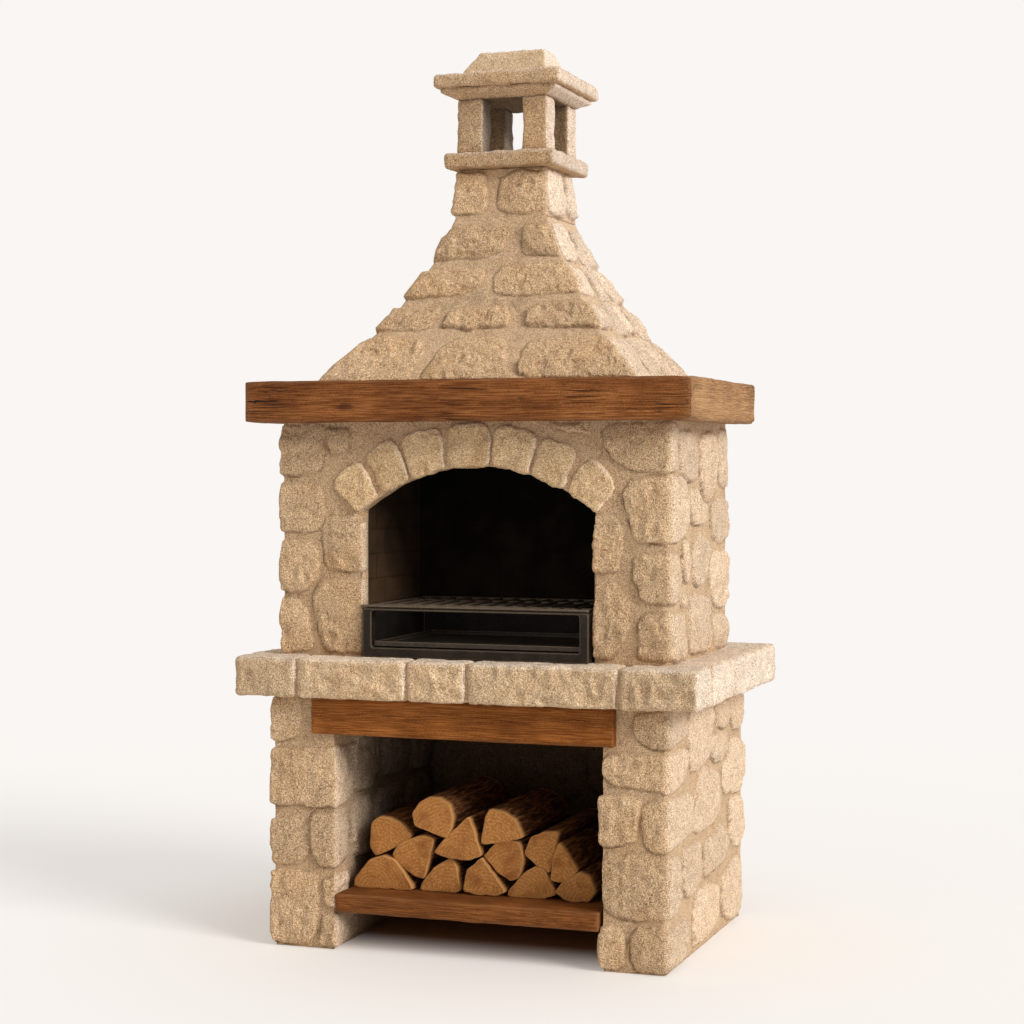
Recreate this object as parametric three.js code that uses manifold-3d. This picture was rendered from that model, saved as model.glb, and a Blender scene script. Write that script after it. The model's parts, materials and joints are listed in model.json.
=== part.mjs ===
// Outdoor masonry barbecue. Two stone piers carry a stone hearth, an arched firebox with a steel grill box,
// an oak mantel, and a stone hood that narrows to a capped chimney. Millimetres, +Z up, front towards -Y.
import * as THREE from "three";
import { mergeVertices } from "three/addons/utils/BufferGeometryUtils.js";
import Module from "manifold-3d";

const wasm = await Module();
wasm.setup();

// Gap between pieces that touch, and how far a cutter runs past what it cuts
const clearance = 0.3;
const overrun = 5;

// Base
const baseSideProud = 6;
const baseDepth = 784;
const baseHeight = 654;
const leftPierWidth = 185;
const rightPierWidth = 182;
const baseRearThickness = 100;

// Rubble stones and the mortar between them
const stoneRelief = 15;
const innerRelief = 9;
const stoneEmbed = 12;
const stoneEdge = 8;

// Timber of the base
const lintelHeight = 97;
const lintelDepth = 88;
const lintelProud = 12;
const lintelBearingLeft = 65;
const lintelBearingRight = 42;
const timberEdge = 6;
const shelfThickness = 50;
const shelfUnderside = 98;
const shelfHousing = 20;
const shelfProud = 3;

// Hearth
const hearthThickness = 102.4;
const hearthFrontOverhang = 48;
const hearthRearOverhang = 14;
const hearthSideOverhang = 80;
const hearthEdgeWidth = 150;
const hearthRearWidth = 165;
const hearthStoneEdge = 12;

// Firebox
const leftJambWidth = 236;
const openingWidth = 620;
const rightJambWidth = 206;
const fireboxDepth = 576.5;
const fireboxSetback = 94;
const frontWallThickness = 48;
const rearWallThickness = 110;
const springHeight = 373;
const archRise = 113;
const archCover = 12;
const ringSeat = 97;
const spandrelDrop = 28;
const voussoirLength = 104;
const voussoirDepth = 36;
const voussoirJoint = 11;
const sideLiningThickness = 100;
const rearLiningThickness = 56;
const liningSetback = 6;
const brickCourse = 65;
const brickLength = 220;
const brickJoint = 5;
const brickJointDepth = 3;

// Grill box, pan and grate
const boxSideClearance = 6;
const frameProud = 16;
const frameHeight = 125;
const frameDepth = 26;
const framePost = 24;
const frameFoot = 25;
const frameTopBar = 5;
const frameRound = 7;
const sheetThickness = 3;
const boxRearClearance = 7.9;
const ledgeWidth = 16;
const ledgeDrop = 97;
const panWall = 2;
const panHeight = 12;
const panPlay = 3;
const grateRod = 9;
const grateBarCount = 14;
const grateLip = 9;
const grateInset = 8;
const crossRod = 6;
const crossRodInset = 90;

// Mantel
const mantelSideOverhang = 68;
const mantelOverhang = 74;
const mantelRearOverhang = 12;
const mantelHeight = 106.7;
const mantelDepth = 110;
const mantelEdge = 9;

// Hood, chimney neck and flue
const hoodSideInset = 86;
const hoodFrontProud = 4;
const hoodBackProud = 7.5;
const hoodHeight = 434;
const neckFootHalfWidth = 141;
const neckFootFront = 113;
const neckFootBack = 155;
const neckTopHalfWidth = 129;
const neckTopFront = 88;
const neckTopBack = 154;
const neckHeight = 130.4;
const hoodWall = 58;
const neckWall = 44;
const hoodRelief = 11;
const hoodRingCount = 7;

// Cap
const capPlateWidth = 304;
const capPlateThickness = 40;
const capPlateEdge = 9;
const capPostWidth = 70;
const capPostSpan = 250;
const capPostHeight = 142;
const capPostEdge = 5;
const architraveWidth = 316;
const architraveFascia = 11;
const architraveHeight = 26;
const roofWidth = 348;
const roofSlab = 36;
const roofEdge = 6;
const pyramidBase = 240;
const pyramidTopWidth = 178;
const pyramidTopDepth = 80;
const pyramidHeight = 74;

// Log pile
const logLength = 400;
const logFrontInset = 90;
const pilePlay = 7;
const logGap = 0.5;

// Levels and planes worked out from the sizes above
const fireboxWidth = leftJambWidth + openingWidth + rightJambWidth;
const openingShift = (leftJambWidth - rightJambWidth) / 2;
const fireboxHeight = springHeight + archRise + voussoirLength + archCover;
const baseWidth = fireboxWidth + baseSideProud * 2;
const hearthWidth = baseWidth + hearthSideOverhang * 2;
const hearthDepth = baseDepth + hearthFrontOverhang + hearthRearOverhang;
const mantelWidth = fireboxWidth + mantelSideOverhang * 2;
const baseFront = -hearthDepth / 2 + hearthFrontOverhang;
const baseBack = baseFront + baseDepth;
const hearthBottom = baseHeight + clearance;
const hearthTop = hearthBottom + hearthThickness;
const hearthFront = -hearthDepth / 2;
const hearthBack = hearthDepth / 2;
const fireboxBottom = hearthTop + clearance;
const fireboxTop = fireboxBottom + fireboxHeight;
const fireboxFront = hearthFront + fireboxSetback;
const fireboxBack = fireboxFront + fireboxDepth;
const jambBack = fireboxFront + frontWallThickness;
const rearWallFront = fireboxBack - rearWallThickness;
const openingLeft = openingShift - openingWidth / 2;
const openingRight = openingShift + openingWidth / 2;
const springLevel = fireboxBottom + springHeight;
const spandrelBottom = springLevel - spandrelDrop;
const archRadius = ((openingWidth / 2) ** 2 + archRise ** 2) / (2 * archRise);
const archCentre = springLevel + archRise - archRadius;
const archAngle = Math.asin(openingWidth / 2 / archRadius);
const mantelBottom = fireboxTop + clearance;
const mantelTop = mantelBottom + mantelHeight;
const mantelFront = fireboxFront - mantelOverhang;
const mantelBack = fireboxBack + mantelRearOverhang;
const hoodFootHalfWidth = fireboxWidth / 2 - hoodSideInset;
const hoodFootFront = -fireboxFront + hoodFrontProud;
const hoodFootBack = fireboxBack + hoodBackProud;
const hoodBottom = mantelTop + clearance;
const hoodTop = hoodBottom + hoodHeight;
const neckBottom = hoodTop + clearance;
const neckTop = neckBottom + neckHeight;
const capCentre = (neckTopBack - neckTopFront) / 2;
const capPlateBottom = neckTop + clearance;
const capPostBottom = capPlateBottom + capPlateThickness + clearance;
const architraveBottom = capPostBottom + capPostHeight + clearance;
const roofBottom = architraveBottom + architraveHeight + clearance;

// Solids: geometry to manifold and back

function solid(geometry) {
  const bare = geometry.index ? geometry.toNonIndexed() : geometry.clone();
  bare.deleteAttribute("normal");
  bare.deleteAttribute("uv");
  const welded = mergeVertices(bare);
  const vertProperties = new Float32Array(welded.attributes.position.array);
  const triVerts = new Uint32Array(welded.index.array);
  return new wasm.Manifold(new wasm.Mesh({ numProp: 3, vertProperties, triVerts }));
}

function geometryOf(manifold) {
  const made = manifold.getMesh();
  const geometry = new THREE.BufferGeometry();
  geometry.setAttribute("position", new THREE.BufferAttribute(new Float32Array(made.vertProperties), 3));
  geometry.setIndex(new THREE.BufferAttribute(new Uint32Array(made.triVerts), 1));
  const faceted = geometry.toNonIndexed();
  faceted.computeVertexNormals();
  return faceted;
}

function joined(solids) {
  return solids.reduce((whole, next) => whole.add(next));
}

function block(left, right, front, back, bottom, top) {
  const geometry = new THREE.BoxGeometry(right - left, back - front, top - bottom);
  geometry.translate((left + right) / 2, (front + back) / 2, (bottom + top) / 2);
  return solid(geometry);
}

// A closed loft through rings of equal point counts, each an array of Vector3, listed from the low end
function loft(rings) {
  const count = rings[0].length;
  const points = rings.flat();
  const first = new THREE.Vector3();
  rings[0].forEach((point) => first.add(point));
  const last = new THREE.Vector3();
  rings.at(-1).forEach((point) => last.add(point));
  points.push(first.divideScalar(count), last.divideScalar(count));
  const lowCentre = points.length - 2;
  const highCentre = points.length - 1;
  const index = [];
  for (let ring = 0; ring + 1 < rings.length; ring += 1) {
    for (let step = 0; step < count; step += 1) {
      const here = ring * count + step;
      const next = ring * count + ((step + 1) % count);
      index.push(here, next, next + count);
      index.push(here, next + count, here + count);
    }
  }
  const lastRing = (rings.length - 1) * count;
  for (let step = 0; step < count; step += 1) {
    const next = (step + 1) % count;
    index.push(lowCentre, next, step);
    index.push(highCentre, lastRing + step, lastRing + next);
  }
  const geometry = new THREE.BufferGeometry().setFromPoints(points);
  geometry.setIndex(index);
  return solid(geometry);
}

function rectangleRing(left, right, front, back, level, cut) {
  const corners = [
    [left + cut, front],
    [right - cut, front],
    [right, front + cut],
    [right, back - cut],
    [right - cut, back],
    [left + cut, back],
    [left, back - cut],
    [left, front + cut],
  ];
  return corners.map(([x, y]) => new THREE.Vector3(x, y, level));
}

// A squared stone with its upright corners cut and its top and bottom arrises eased
function dressedStone(left, right, front, back, bottom, top, edge) {
  return loft([
    rectangleRing(left + edge, right - edge, front + edge, back - edge, bottom, edge / 2),
    rectangleRing(left, right, front, back, bottom + edge, edge),
    rectangleRing(left, right, front, back, top - edge, edge),
    rectangleRing(left + edge, right - edge, front + edge, back - edge, top, edge / 2),
  ]);
}

const sharpCornerShare = 0.5;

// The outline moved out by a distance, for pockets that clear what they hold
function grown(outline, distance) {
  const count = outline.length;
  return outline.map((point, place) => {
    const before = point.clone().sub(outline[(place + count - 1) % count]).normalize();
    const after = outline[(place + 1) % count].clone().sub(point).normalize();
    const normal = new THREE.Vector2(before.y + after.y, -before.x - after.x).normalize();
    const reach = distance / Math.max(normal.dot(new THREE.Vector2(after.y, -after.x)), sharpCornerShare);
    return point.clone().addScaledVector(normal, reach);
  });
}

// The outline drawn in evenly, for the eased edge of a stone or a log
function eased(outline, edge) {
  const box = new THREE.Box2().setFromPoints(outline);
  const middle = box.getCenter(new THREE.Vector2());
  const size = box.getSize(new THREE.Vector2());
  const keep = new THREE.Vector2(1 - (2 * edge) / size.x, 1 - (2 * edge) / size.y);
  return outline.map((point) => point.clone().sub(middle).multiply(keep).add(middle));
}

// A prism over an outline in X and Z, from one Y to another, with an eased edge at its front
function prismAlongY(outline, front, back, edge) {
  const ring = (points, y) => points.map((point) => new THREE.Vector3(point.x, y, point.y));
  if (edge === 0) return loft([ring(outline, back), ring(outline, front)]);
  return loft([ring(outline, back), ring(outline, front + edge), ring(eased(outline, edge), front)]);
}

// A timber along X with its four long arrises eased, as a section in Y and Z
function timberAlongX(left, right, front, back, bottom, top, edge) {
  const section = new THREE.Shape(
    rectangleRing(front, back, bottom, top, 0, edge).map((point) => new THREE.Vector2(point.x, point.y)),
  );
  const geometry = new THREE.ExtrudeGeometry(section, { depth: right - left, bevelEnabled: false });
  geometry.rotateX(Math.PI / 2);
  geometry.rotateZ(Math.PI / 2);
  geometry.translate(left, 0, 0);
  return solid(geometry);
}

// Rubble: each stone is an outline in shares of its face, [left, right, bottom, top]

const stoneEdgeShare = 2 / 3;
const cornerCutShares = [0.2, 0.34, 0.14, 0.26, 0.18, 0.4, 0.12, 0.3, 0.22];

// Three corners of a stone are cut, each by its own share of the shorter side, and one is left square
function rubbleOutline([left, right, bottom, top], width, height, turn) {
  const near = left * width;
  const far = right * width;
  const low = bottom * height;
  const tall = top * height;
  const shorter = Math.min(far - near, tall - low);
  const cut = (corner) => shorter * cornerCutShares[(turn * 3 + corner) % cornerCutShares.length];
  return [
    new THREE.Vector2(near + cut(0), low),
    new THREE.Vector2(far - cut(1), low),
    new THREE.Vector2(far, low + cut(1) / 2),
    new THREE.Vector2(far, tall - cut(2)),
    new THREE.Vector2(far - cut(2) / 2, tall),
    new THREE.Vector2(near, tall),
    new THREE.Vector2(near, low + cut(0) / 2),
  ];
}

// A stone raised from a plane through a point, with its long edges eased on the side that shows
function raisedStone(outline, origin, along, up, relief) {
  const edge = Math.min(stoneEdge, relief * stoneEdgeShare);
  const out = new THREE.Vector3().crossVectors(along, up);
  const ring = (points, height) => {
    const level = origin.clone().addScaledVector(out, height);
    return points.map(({ x, y }) => level.clone().addScaledVector(along, x).addScaledVector(up, y));
  };
  const face = ring(eased(outline, edge), relief);
  return loft([ring(outline, -stoneEmbed), ring(outline, relief - edge), face]);
}

// All stones of one flat face: the corner is its lower left as seen from outside, on the mortar plane
function faceStones(corner, along, width, height, shares, relief) {
  const up = new THREE.Vector3(0, 0, 1);
  return shares.map((share, turn) =>
    raisedStone(rubbleOutline(share, width, height, turn), corner, along, up, relief),
  );
}

const east = new THREE.Vector3(1, 0, 0);
const west = new THREE.Vector3(-1, 0, 0);
const north = new THREE.Vector3(0, 1, 0);
const south = new THREE.Vector3(0, -1, 0);

// The share tables of a face read from outside, or from the other side of the same wall
function mirrored(shares) {
  return shares.map(([left, right, bottom, top]) => [1 - right, 1 - left, bottom, top]);
}

// Stone tables, left to right as seen from outside each face

const leftPierFrontShares = [
  [0, 0.52, 0.81, 0.99],
  [0, 1, 0.56, 0.79],
  [0, 0.52, 0.33, 0.54],
  [0.57, 1, 0.32, 0.55],
  [0, 0.73, 0.01, 0.3],
  [0.78, 1, 0.17, 0.31],
  [0.78, 1, 0.01, 0.15],
];
const rightPierFrontShares = [
  [0.44, 1, 0.85, 0.99],
  [0, 1, 0.68, 0.83],
  [0, 0.52, 0.47, 0.66],
  [0.57, 1, 0.46, 0.66],
  [0, 1, 0.21, 0.44],
  [0, 0.36, 0.01, 0.19],
  [0.41, 1, 0.01, 0.18],
];
const baseRightShares = [
  [0, 0.24, 0.85, 0.99],
  [0, 0.24, 0.68, 0.83],
  [0.26, 0.52, 0.72, 0.96],
  [0.54, 0.77, 0.86, 0.97],
  [0.54, 0.77, 0.71, 0.84],
  [0.79, 1, 0.79, 0.97],
  [0, 0.3, 0.46, 0.66],
  [0.32, 0.66, 0.46, 0.7],
  [0.68, 1, 0.55, 0.77],
  [0, 0.155, 0.21, 0.44],
  [0.17, 0.43, 0.22, 0.44],
  [0.45, 0.75, 0.28, 0.45],
  [0.77, 1, 0.29, 0.53],
  [0, 0.26, 0.01, 0.18],
  [0.28, 0.64, 0.02, 0.26],
  [0.66, 1, 0.01, 0.27],
];
const baseLeftShares = [
  [0.78, 1, 0.81, 0.99],
  [0.51, 0.76, 0.78, 0.97],
  [0.25, 0.49, 0.82, 0.98],
  [0, 0.23, 0.76, 0.98],
  [0.7, 1, 0.56, 0.79],
  [0.38, 0.68, 0.53, 0.76],
  [0, 0.36, 0.54, 0.74],
  [0.81, 1, 0.33, 0.54],
  [0.52, 0.79, 0.31, 0.51],
  [0.26, 0.5, 0.29, 0.51],
  [0, 0.24, 0.31, 0.52],
  [0.73, 1, 0.01, 0.3],
  [0.42, 0.71, 0.02, 0.29],
  [0, 0.4, 0.01, 0.27],
];
const pierInnerShares = [
  [0, 0.14, 0.56, 0.79],
  [0.16, 0.44, 0.62, 0.84],
  [0.46, 0.78, 0.6, 0.8],
  [0, 0.14, 0.32, 0.55],
  [0.16, 0.4, 0.36, 0.58],
  [0.42, 0.8, 0.33, 0.55],
  [0, 0.22, 0.01, 0.13],
];
const pierRearShares = [
  [0, 1, 0.76, 0.98],
  [0, 1, 0.54, 0.74],
  [0, 1, 0.31, 0.52],
  [0, 1, 0.01, 0.27],
];
const baseRearShares = [
  [0.02, 0.34, 0.76, 0.98],
  [0.36, 0.66, 0.73, 0.97],
  [0.68, 0.98, 0.77, 0.98],
  [0.02, 0.28, 0.49, 0.73],
  [0.3, 0.62, 0.46, 0.7],
  [0.64, 0.98, 0.5, 0.74],
  [0.02, 0.4, 0.24, 0.46],
  [0.42, 0.7, 0.21, 0.43],
  [0.72, 0.98, 0.26, 0.47],
  [0.02, 0.32, 0.02, 0.21],
  [0.34, 0.64, 0.02, 0.18],
  [0.66, 0.98, 0.02, 0.23],
];
const leftJambShares = [
  [0, 0.51, 0.77, 0.99],
  [0, 0.5, 0.53, 0.745],
  [0.53, 0.96, 0.36, 0.6],
  [0, 0.48, 0.27, 0.5],
  [0, 0.36, 0.01, 0.245],
  [0.42, 0.96, 0.02, 0.32],
];
const rightJambShares = [
  [0.49, 1, 0.79, 0.985],
  [0.37, 1, 0.49, 0.77],
  [0.04, 0.33, 0.37, 0.6],
  [0.46, 1, 0.24, 0.455],
  [0.52, 1, 0.01, 0.21],
  [0.04, 0.44, 0.01, 0.34],
];
const fireboxRightShares = [
  [0, 0.13, 0.79, 0.985],
  [0.15, 0.45, 0.75, 0.935],
  [0.475, 0.77, 0.74, 0.95],
  [0.79, 1, 0.735, 0.985],
  [0, 0.285, 0.49, 0.77],
  [0.305, 0.64, 0.57, 0.72],
  [0.67, 1, 0.475, 0.7],
  [0, 0.165, 0.24, 0.455],
  [0.185, 0.63, 0.32, 0.55],
  [0.65, 1, 0.19, 0.455],
  [0, 0.265, 0.01, 0.21],
  [0.285, 0.72, 0.02, 0.3],
  [0.74, 1, 0.01, 0.17],
];
const fireboxLeftShares = [
  [0.84, 1, 0.77, 0.99],
  [0.5, 0.82, 0.78, 0.97],
  [0.2, 0.48, 0.72, 0.95],
  [0, 0.18, 0.75, 0.98],
  [0.7, 1, 0.53, 0.745],
  [0.34, 0.68, 0.54, 0.75],
  [0, 0.32, 0.5, 0.7],
  [0.8, 1, 0.27, 0.5],
  [0.4, 0.78, 0.29, 0.51],
  [0, 0.38, 0.26, 0.47],
  [0.72, 1, 0.01, 0.245],
  [0.32, 0.7, 0.02, 0.26],
  [0, 0.3, 0.02, 0.23],
];
const sideRearShares = [
  [0, 1, 0.75, 0.98],
  [0, 1, 0.5, 0.7],
  [0, 1, 0.26, 0.47],
  [0, 1, 0.02, 0.2],
];
const fireboxRearShares = [
  [0.02, 0.3, 0.76, 0.98],
  [0.32, 0.66, 0.73, 0.97],
  [0.68, 0.98, 0.77, 0.98],
  [0.02, 0.36, 0.5, 0.73],
  [0.38, 0.64, 0.48, 0.7],
  [0.66, 0.98, 0.51, 0.74],
  [0.02, 0.28, 0.25, 0.47],
  [0.3, 0.68, 0.23, 0.45],
  [0.7, 0.98, 0.26, 0.48],
  [0.02, 0.4, 0.02, 0.22],
  [0.42, 0.7, 0.02, 0.2],
  [0.72, 0.98, 0.02, 0.23],
];
const spandrelShares = [
  [0.01, 0.12, 0.7, 0.97],
  [0.88, 0.99, 0.72, 0.97],
];

// Across the hood a share runs from -1 to 1 between its arrises, and up it from 0 to 1
const hoodFrontShares = [
  [-1, -0.41, 0.02, 0.285],
  [-0.36, 0.2, 0.02, 0.28],
  [0.27, 1, 0.02, 0.26],
  [-1, -0.52, 0.33, 0.465],
  [-0.43, 0.19, 0.32, 0.475],
  [0.32, 1, 0.31, 0.48],
  [-1, -0.17, 0.52, 0.7],
  [-0.08, 1, 0.51, 0.71],
  [-1, 0.16, 0.74, 0.95],
  [0.31, 1, 0.75, 0.94],
];
const hoodBackShares = [
  [-1, -0.3, 0.02, 0.27],
  [-0.22, 0.35, 0.02, 0.28],
  [0.43, 1, 0.02, 0.26],
  [-1, 0, 0.32, 0.48],
  [0.1, 1, 0.31, 0.48],
  [-1, -0.1, 0.52, 0.71],
  [0.02, 1, 0.51, 0.71],
  [-1, 1, 0.75, 0.95],
];
const hoodSideShares = [
  [-1, -0.45, 0.02, 0.27],
  [-0.38, 0.3, 0.02, 0.28],
  [0.36, 1, 0.02, 0.26],
  [-1, 0.05, 0.32, 0.475],
  [0.15, 1, 0.31, 0.48],
  [-1, -0.05, 0.52, 0.7],
  [0.05, 1, 0.51, 0.71],
  [-1, 0.1, 0.745, 0.945],
  [0.22, 1, 0.74, 0.95],
];
const neckFrontShares = [
  [-1, -0.28, 0.06, 0.95],
  [-0.14, 1, 0.1, 0.97],
];
const neckSideShares = [[-1, 0.2, 0.06, 0.96], [0.34, 1, 0.08, 0.95]];

// Base piers

function pierWall(left, right) {
  return block(left, right, baseFront + stoneRelief, baseBack - stoneRelief, 0, baseHeight);
}

function shelfGroove(left, right) {
  const top = shelfUnderside + shelfThickness + clearance;
  const bottom = shelfUnderside - clearance;
  return block(left, right, baseFront - overrun, shelfBack + clearance, bottom, top);
}

function lintelNotch(left, right) {
  const back = baseFront - lintelProud + lintelDepth + clearance;
  const bottom = baseHeight - lintelHeight - clearance;
  return block(left, right, baseFront - lintelProud, back, bottom, baseHeight + overrun);
}

const pierLeft = -baseWidth / 2;
const pierRight = baseWidth / 2;
const bayLeft = pierLeft + leftPierWidth;
const bayRight = pierRight - rightPierWidth;
const shelfLeft = bayLeft - shelfHousing;
const shelfRight = bayRight + shelfHousing;
const baseRearFront = baseBack - baseRearThickness;
const shelfBack = baseRearFront - clearance;
const lintelLeft = bayLeft - lintelBearingLeft;
const lintelRight = bayRight + lintelBearingRight;

function leftPier() {
  const outer = pierLeft + stoneRelief;
  const inner = bayLeft - innerRelief;
  const front = baseFront + stoneRelief;
  const back = baseBack - stoneRelief;
  const frontCorner = new THREE.Vector3(pierLeft, front, 0);
  const outerCorner = new THREE.Vector3(outer, baseBack, 0);
  const innerCorner = new THREE.Vector3(inner, baseFront, 0);
  const rearCorner = new THREE.Vector3(bayLeft, back, 0);
  const body = joined([
    pierWall(outer, inner),
    block(outer, bayLeft, baseRearFront, back, 0, baseHeight),
    ...faceStones(frontCorner, east, leftPierWidth, baseHeight, leftPierFrontShares, stoneRelief),
    ...faceStones(outerCorner, south, baseDepth, baseHeight, baseLeftShares, stoneRelief),
    ...faceStones(innerCorner, north, baseRearFront - baseFront, baseHeight, pierInnerShares, innerRelief),
    ...faceStones(rearCorner, west, leftPierWidth, baseHeight, mirrored(pierRearShares), stoneRelief),
  ]);
  const inside = block(pierLeft, bayLeft, baseFront, baseBack, 0, baseHeight);
  return body
    .intersect(inside)
    .subtract(shelfGroove(shelfLeft - clearance, bayLeft + overrun))
    .subtract(lintelNotch(lintelLeft - clearance, bayLeft + overrun));
}

function rightPier() {
  const outer = pierRight - stoneRelief;
  const inner = bayRight + innerRelief;
  const front = baseFront + stoneRelief;
  const back = baseBack - stoneRelief;
  const frontCorner = new THREE.Vector3(bayRight, front, 0);
  const outerCorner = new THREE.Vector3(outer, baseFront, 0);
  const innerCorner = new THREE.Vector3(inner, baseRearFront, 0);
  const rearCorner = new THREE.Vector3(pierRight, back, 0);
  const innerLength = baseRearFront - baseFront;
  const body = joined([
    pierWall(inner, outer),
    block(bayRight, outer, baseRearFront, back, 0, baseHeight),
    ...faceStones(frontCorner, east, rightPierWidth, baseHeight, rightPierFrontShares, stoneRelief),
    ...faceStones(outerCorner, north, baseDepth, baseHeight, baseRightShares, stoneRelief),
    ...faceStones(innerCorner, south, innerLength, baseHeight, mirrored(pierInnerShares), innerRelief),
    ...faceStones(rearCorner, west, rightPierWidth, baseHeight, pierRearShares, stoneRelief),
  ]);
  const inside = block(bayRight, pierRight, baseFront, baseBack, 0, baseHeight);
  return body
    .intersect(inside)
    .subtract(shelfGroove(bayRight - overrun, shelfRight + clearance))
    .subtract(lintelNotch(bayRight - overrun, lintelRight + clearance));
}

function baseRearWall() {
  const left = bayLeft + clearance;
  const right = bayRight - clearance;
  const back = baseBack - stoneRelief;
  const front = baseRearFront;
  const corner = new THREE.Vector3(right, back, 0);
  const wall = block(left, right, front, back, 0, baseHeight);
  const stones = faceStones(corner, west, right - left, baseHeight, baseRearShares, stoneRelief);
  return joined([wall, ...stones]);
}

// Timber shelf and lintel

function logShelf() {
  const front = baseFront - shelfProud;
  const top = shelfUnderside + shelfThickness;
  return timberAlongX(shelfLeft, shelfRight, front, shelfBack, shelfUnderside, top, timberEdge);
}

function lintelBeam() {
  const front = baseFront - lintelProud;
  const bottom = baseHeight - lintelHeight;
  return timberAlongX(lintelLeft, lintelRight, front, front + lintelDepth, bottom, baseHeight, timberEdge);
}

// Hearth stones round a core slab. Joints are shares of the hearth's front and side.
const frontJointShares = [0.141, 0.386, 0.518, 0.838];
const rightJointShares = [0.453, 0.719];
const leftJointShare = 0.74;

const hearthLeft = -hearthWidth / 2;
const hearthRight = hearthWidth / 2;

function hearthStone(left, right, front, back) {
  return dressedStone(left, right, front, back, hearthBottom, hearthTop, hearthStoneEdge);
}

function hearthPieces() {
  const frontEnd = hearthFront + hearthEdgeWidth;
  const rearStart = hearthBack - hearthRearWidth;
  const leftEnd = hearthLeft + hearthEdgeWidth;
  const rightStart = hearthRight - hearthEdgeWidth;
  const half = clearance / 2;
  const frontJoints = frontJointShares.map((share) => hearthLeft + share * hearthWidth);
  const [rightMiddle, rightLast] = rightJointShares.map((share) => hearthFront + share * hearthDepth);
  const leftJoint = hearthFront + leftJointShare * hearthDepth;
  const pieces = [
    ["hearth_stone_front_left", hearthStone(hearthLeft, frontJoints.at(0) - half, hearthFront, frontEnd)],
    ["hearth_stone_front_right", hearthStone(frontJoints.at(-1) + half, hearthRight, hearthFront, frontEnd)],
  ];
  for (let place = 0; place + 1 < frontJoints.length; place += 1) {
    const left = frontJoints[place] + half;
    const right = frontJoints[place + 1] - half;
    pieces.push([`hearth_stone_front_${place + 1}`, hearthStone(left, right, hearthFront, frontEnd)]);
  }
  const sideStart = frontEnd + clearance;
  pieces.push(
    ["hearth_stone_right_1", hearthStone(rightStart, hearthRight, sideStart, rightMiddle - half)],
    ["hearth_stone_right_2", hearthStone(rightStart, hearthRight, rightMiddle + half, rightLast - half)],
    ["hearth_stone_rear_right", hearthStone(rightStart, hearthRight, rightLast + half, hearthBack)],
    ["hearth_stone_left_1", hearthStone(hearthLeft, leftEnd, sideStart, leftJoint - half)],
    ["hearth_stone_rear_left", hearthStone(hearthLeft, leftEnd, leftJoint + half, hearthBack)],
    ["hearth_stone_rear", hearthStone(leftEnd + clearance, rightStart - clearance, rearStart, hearthBack)],
    [
      "hearth_core",
      block(
        leftEnd + clearance,
        rightStart - clearance,
        frontEnd + clearance,
        rearStart - clearance,
        hearthBottom,
        hearthTop,
      ),
    ],
  );
  return pieces;
}

// Firebox walls

const wallLeft = -fireboxWidth / 2;
const wallRight = fireboxWidth / 2;
const liningLeftFace = openingLeft - liningSetback;
const liningRightFace = openingRight + liningSetback;
const leftWallInner = liningLeftFace - sideLiningThickness - clearance;
const rightWallInner = liningRightFace + sideLiningThickness + clearance;
const spandrelLeft = openingLeft - ringSeat;
const spandrelRight = openingRight + ringSeat;
const mortarFront = fireboxFront + stoneRelief;
const mortarBack = fireboxBack - stoneRelief;

function leftFireboxWall() {
  const outer = wallLeft + stoneRelief;
  const jambWidth = openingLeft - wallLeft;
  const frontCorner = new THREE.Vector3(wallLeft, mortarFront, fireboxBottom);
  const sideCorner = new THREE.Vector3(outer, fireboxBack, fireboxBottom);
  const rearCorner = new THREE.Vector3(leftWallInner, mortarBack, fireboxBottom);
  const rearWidth = leftWallInner - wallLeft;
  const body = joined([
    block(outer, leftWallInner, mortarFront, mortarBack, fireboxBottom, fireboxTop),
    block(outer, openingLeft, mortarFront, jambBack, fireboxBottom, fireboxTop),
    ...faceStones(frontCorner, east, jambWidth, fireboxHeight, leftJambShares, stoneRelief),
    ...faceStones(sideCorner, south, fireboxDepth, fireboxHeight, fireboxLeftShares, stoneRelief),
    ...faceStones(rearCorner, west, rearWidth, fireboxHeight, mirrored(sideRearShares), stoneRelief),
  ]);
  const inside = block(wallLeft, openingLeft, fireboxFront, fireboxBack, fireboxBottom, fireboxTop);
  const left = spandrelLeft - clearance;
  const bottom = spandrelBottom - clearance;
  const back = jambBack + clearance;
  const notchFront = fireboxFront - overrun;
  const notch = block(left, openingLeft + overrun, notchFront, back, bottom, fireboxTop + overrun);
  return body.intersect(inside).subtract(notch);
}

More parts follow.
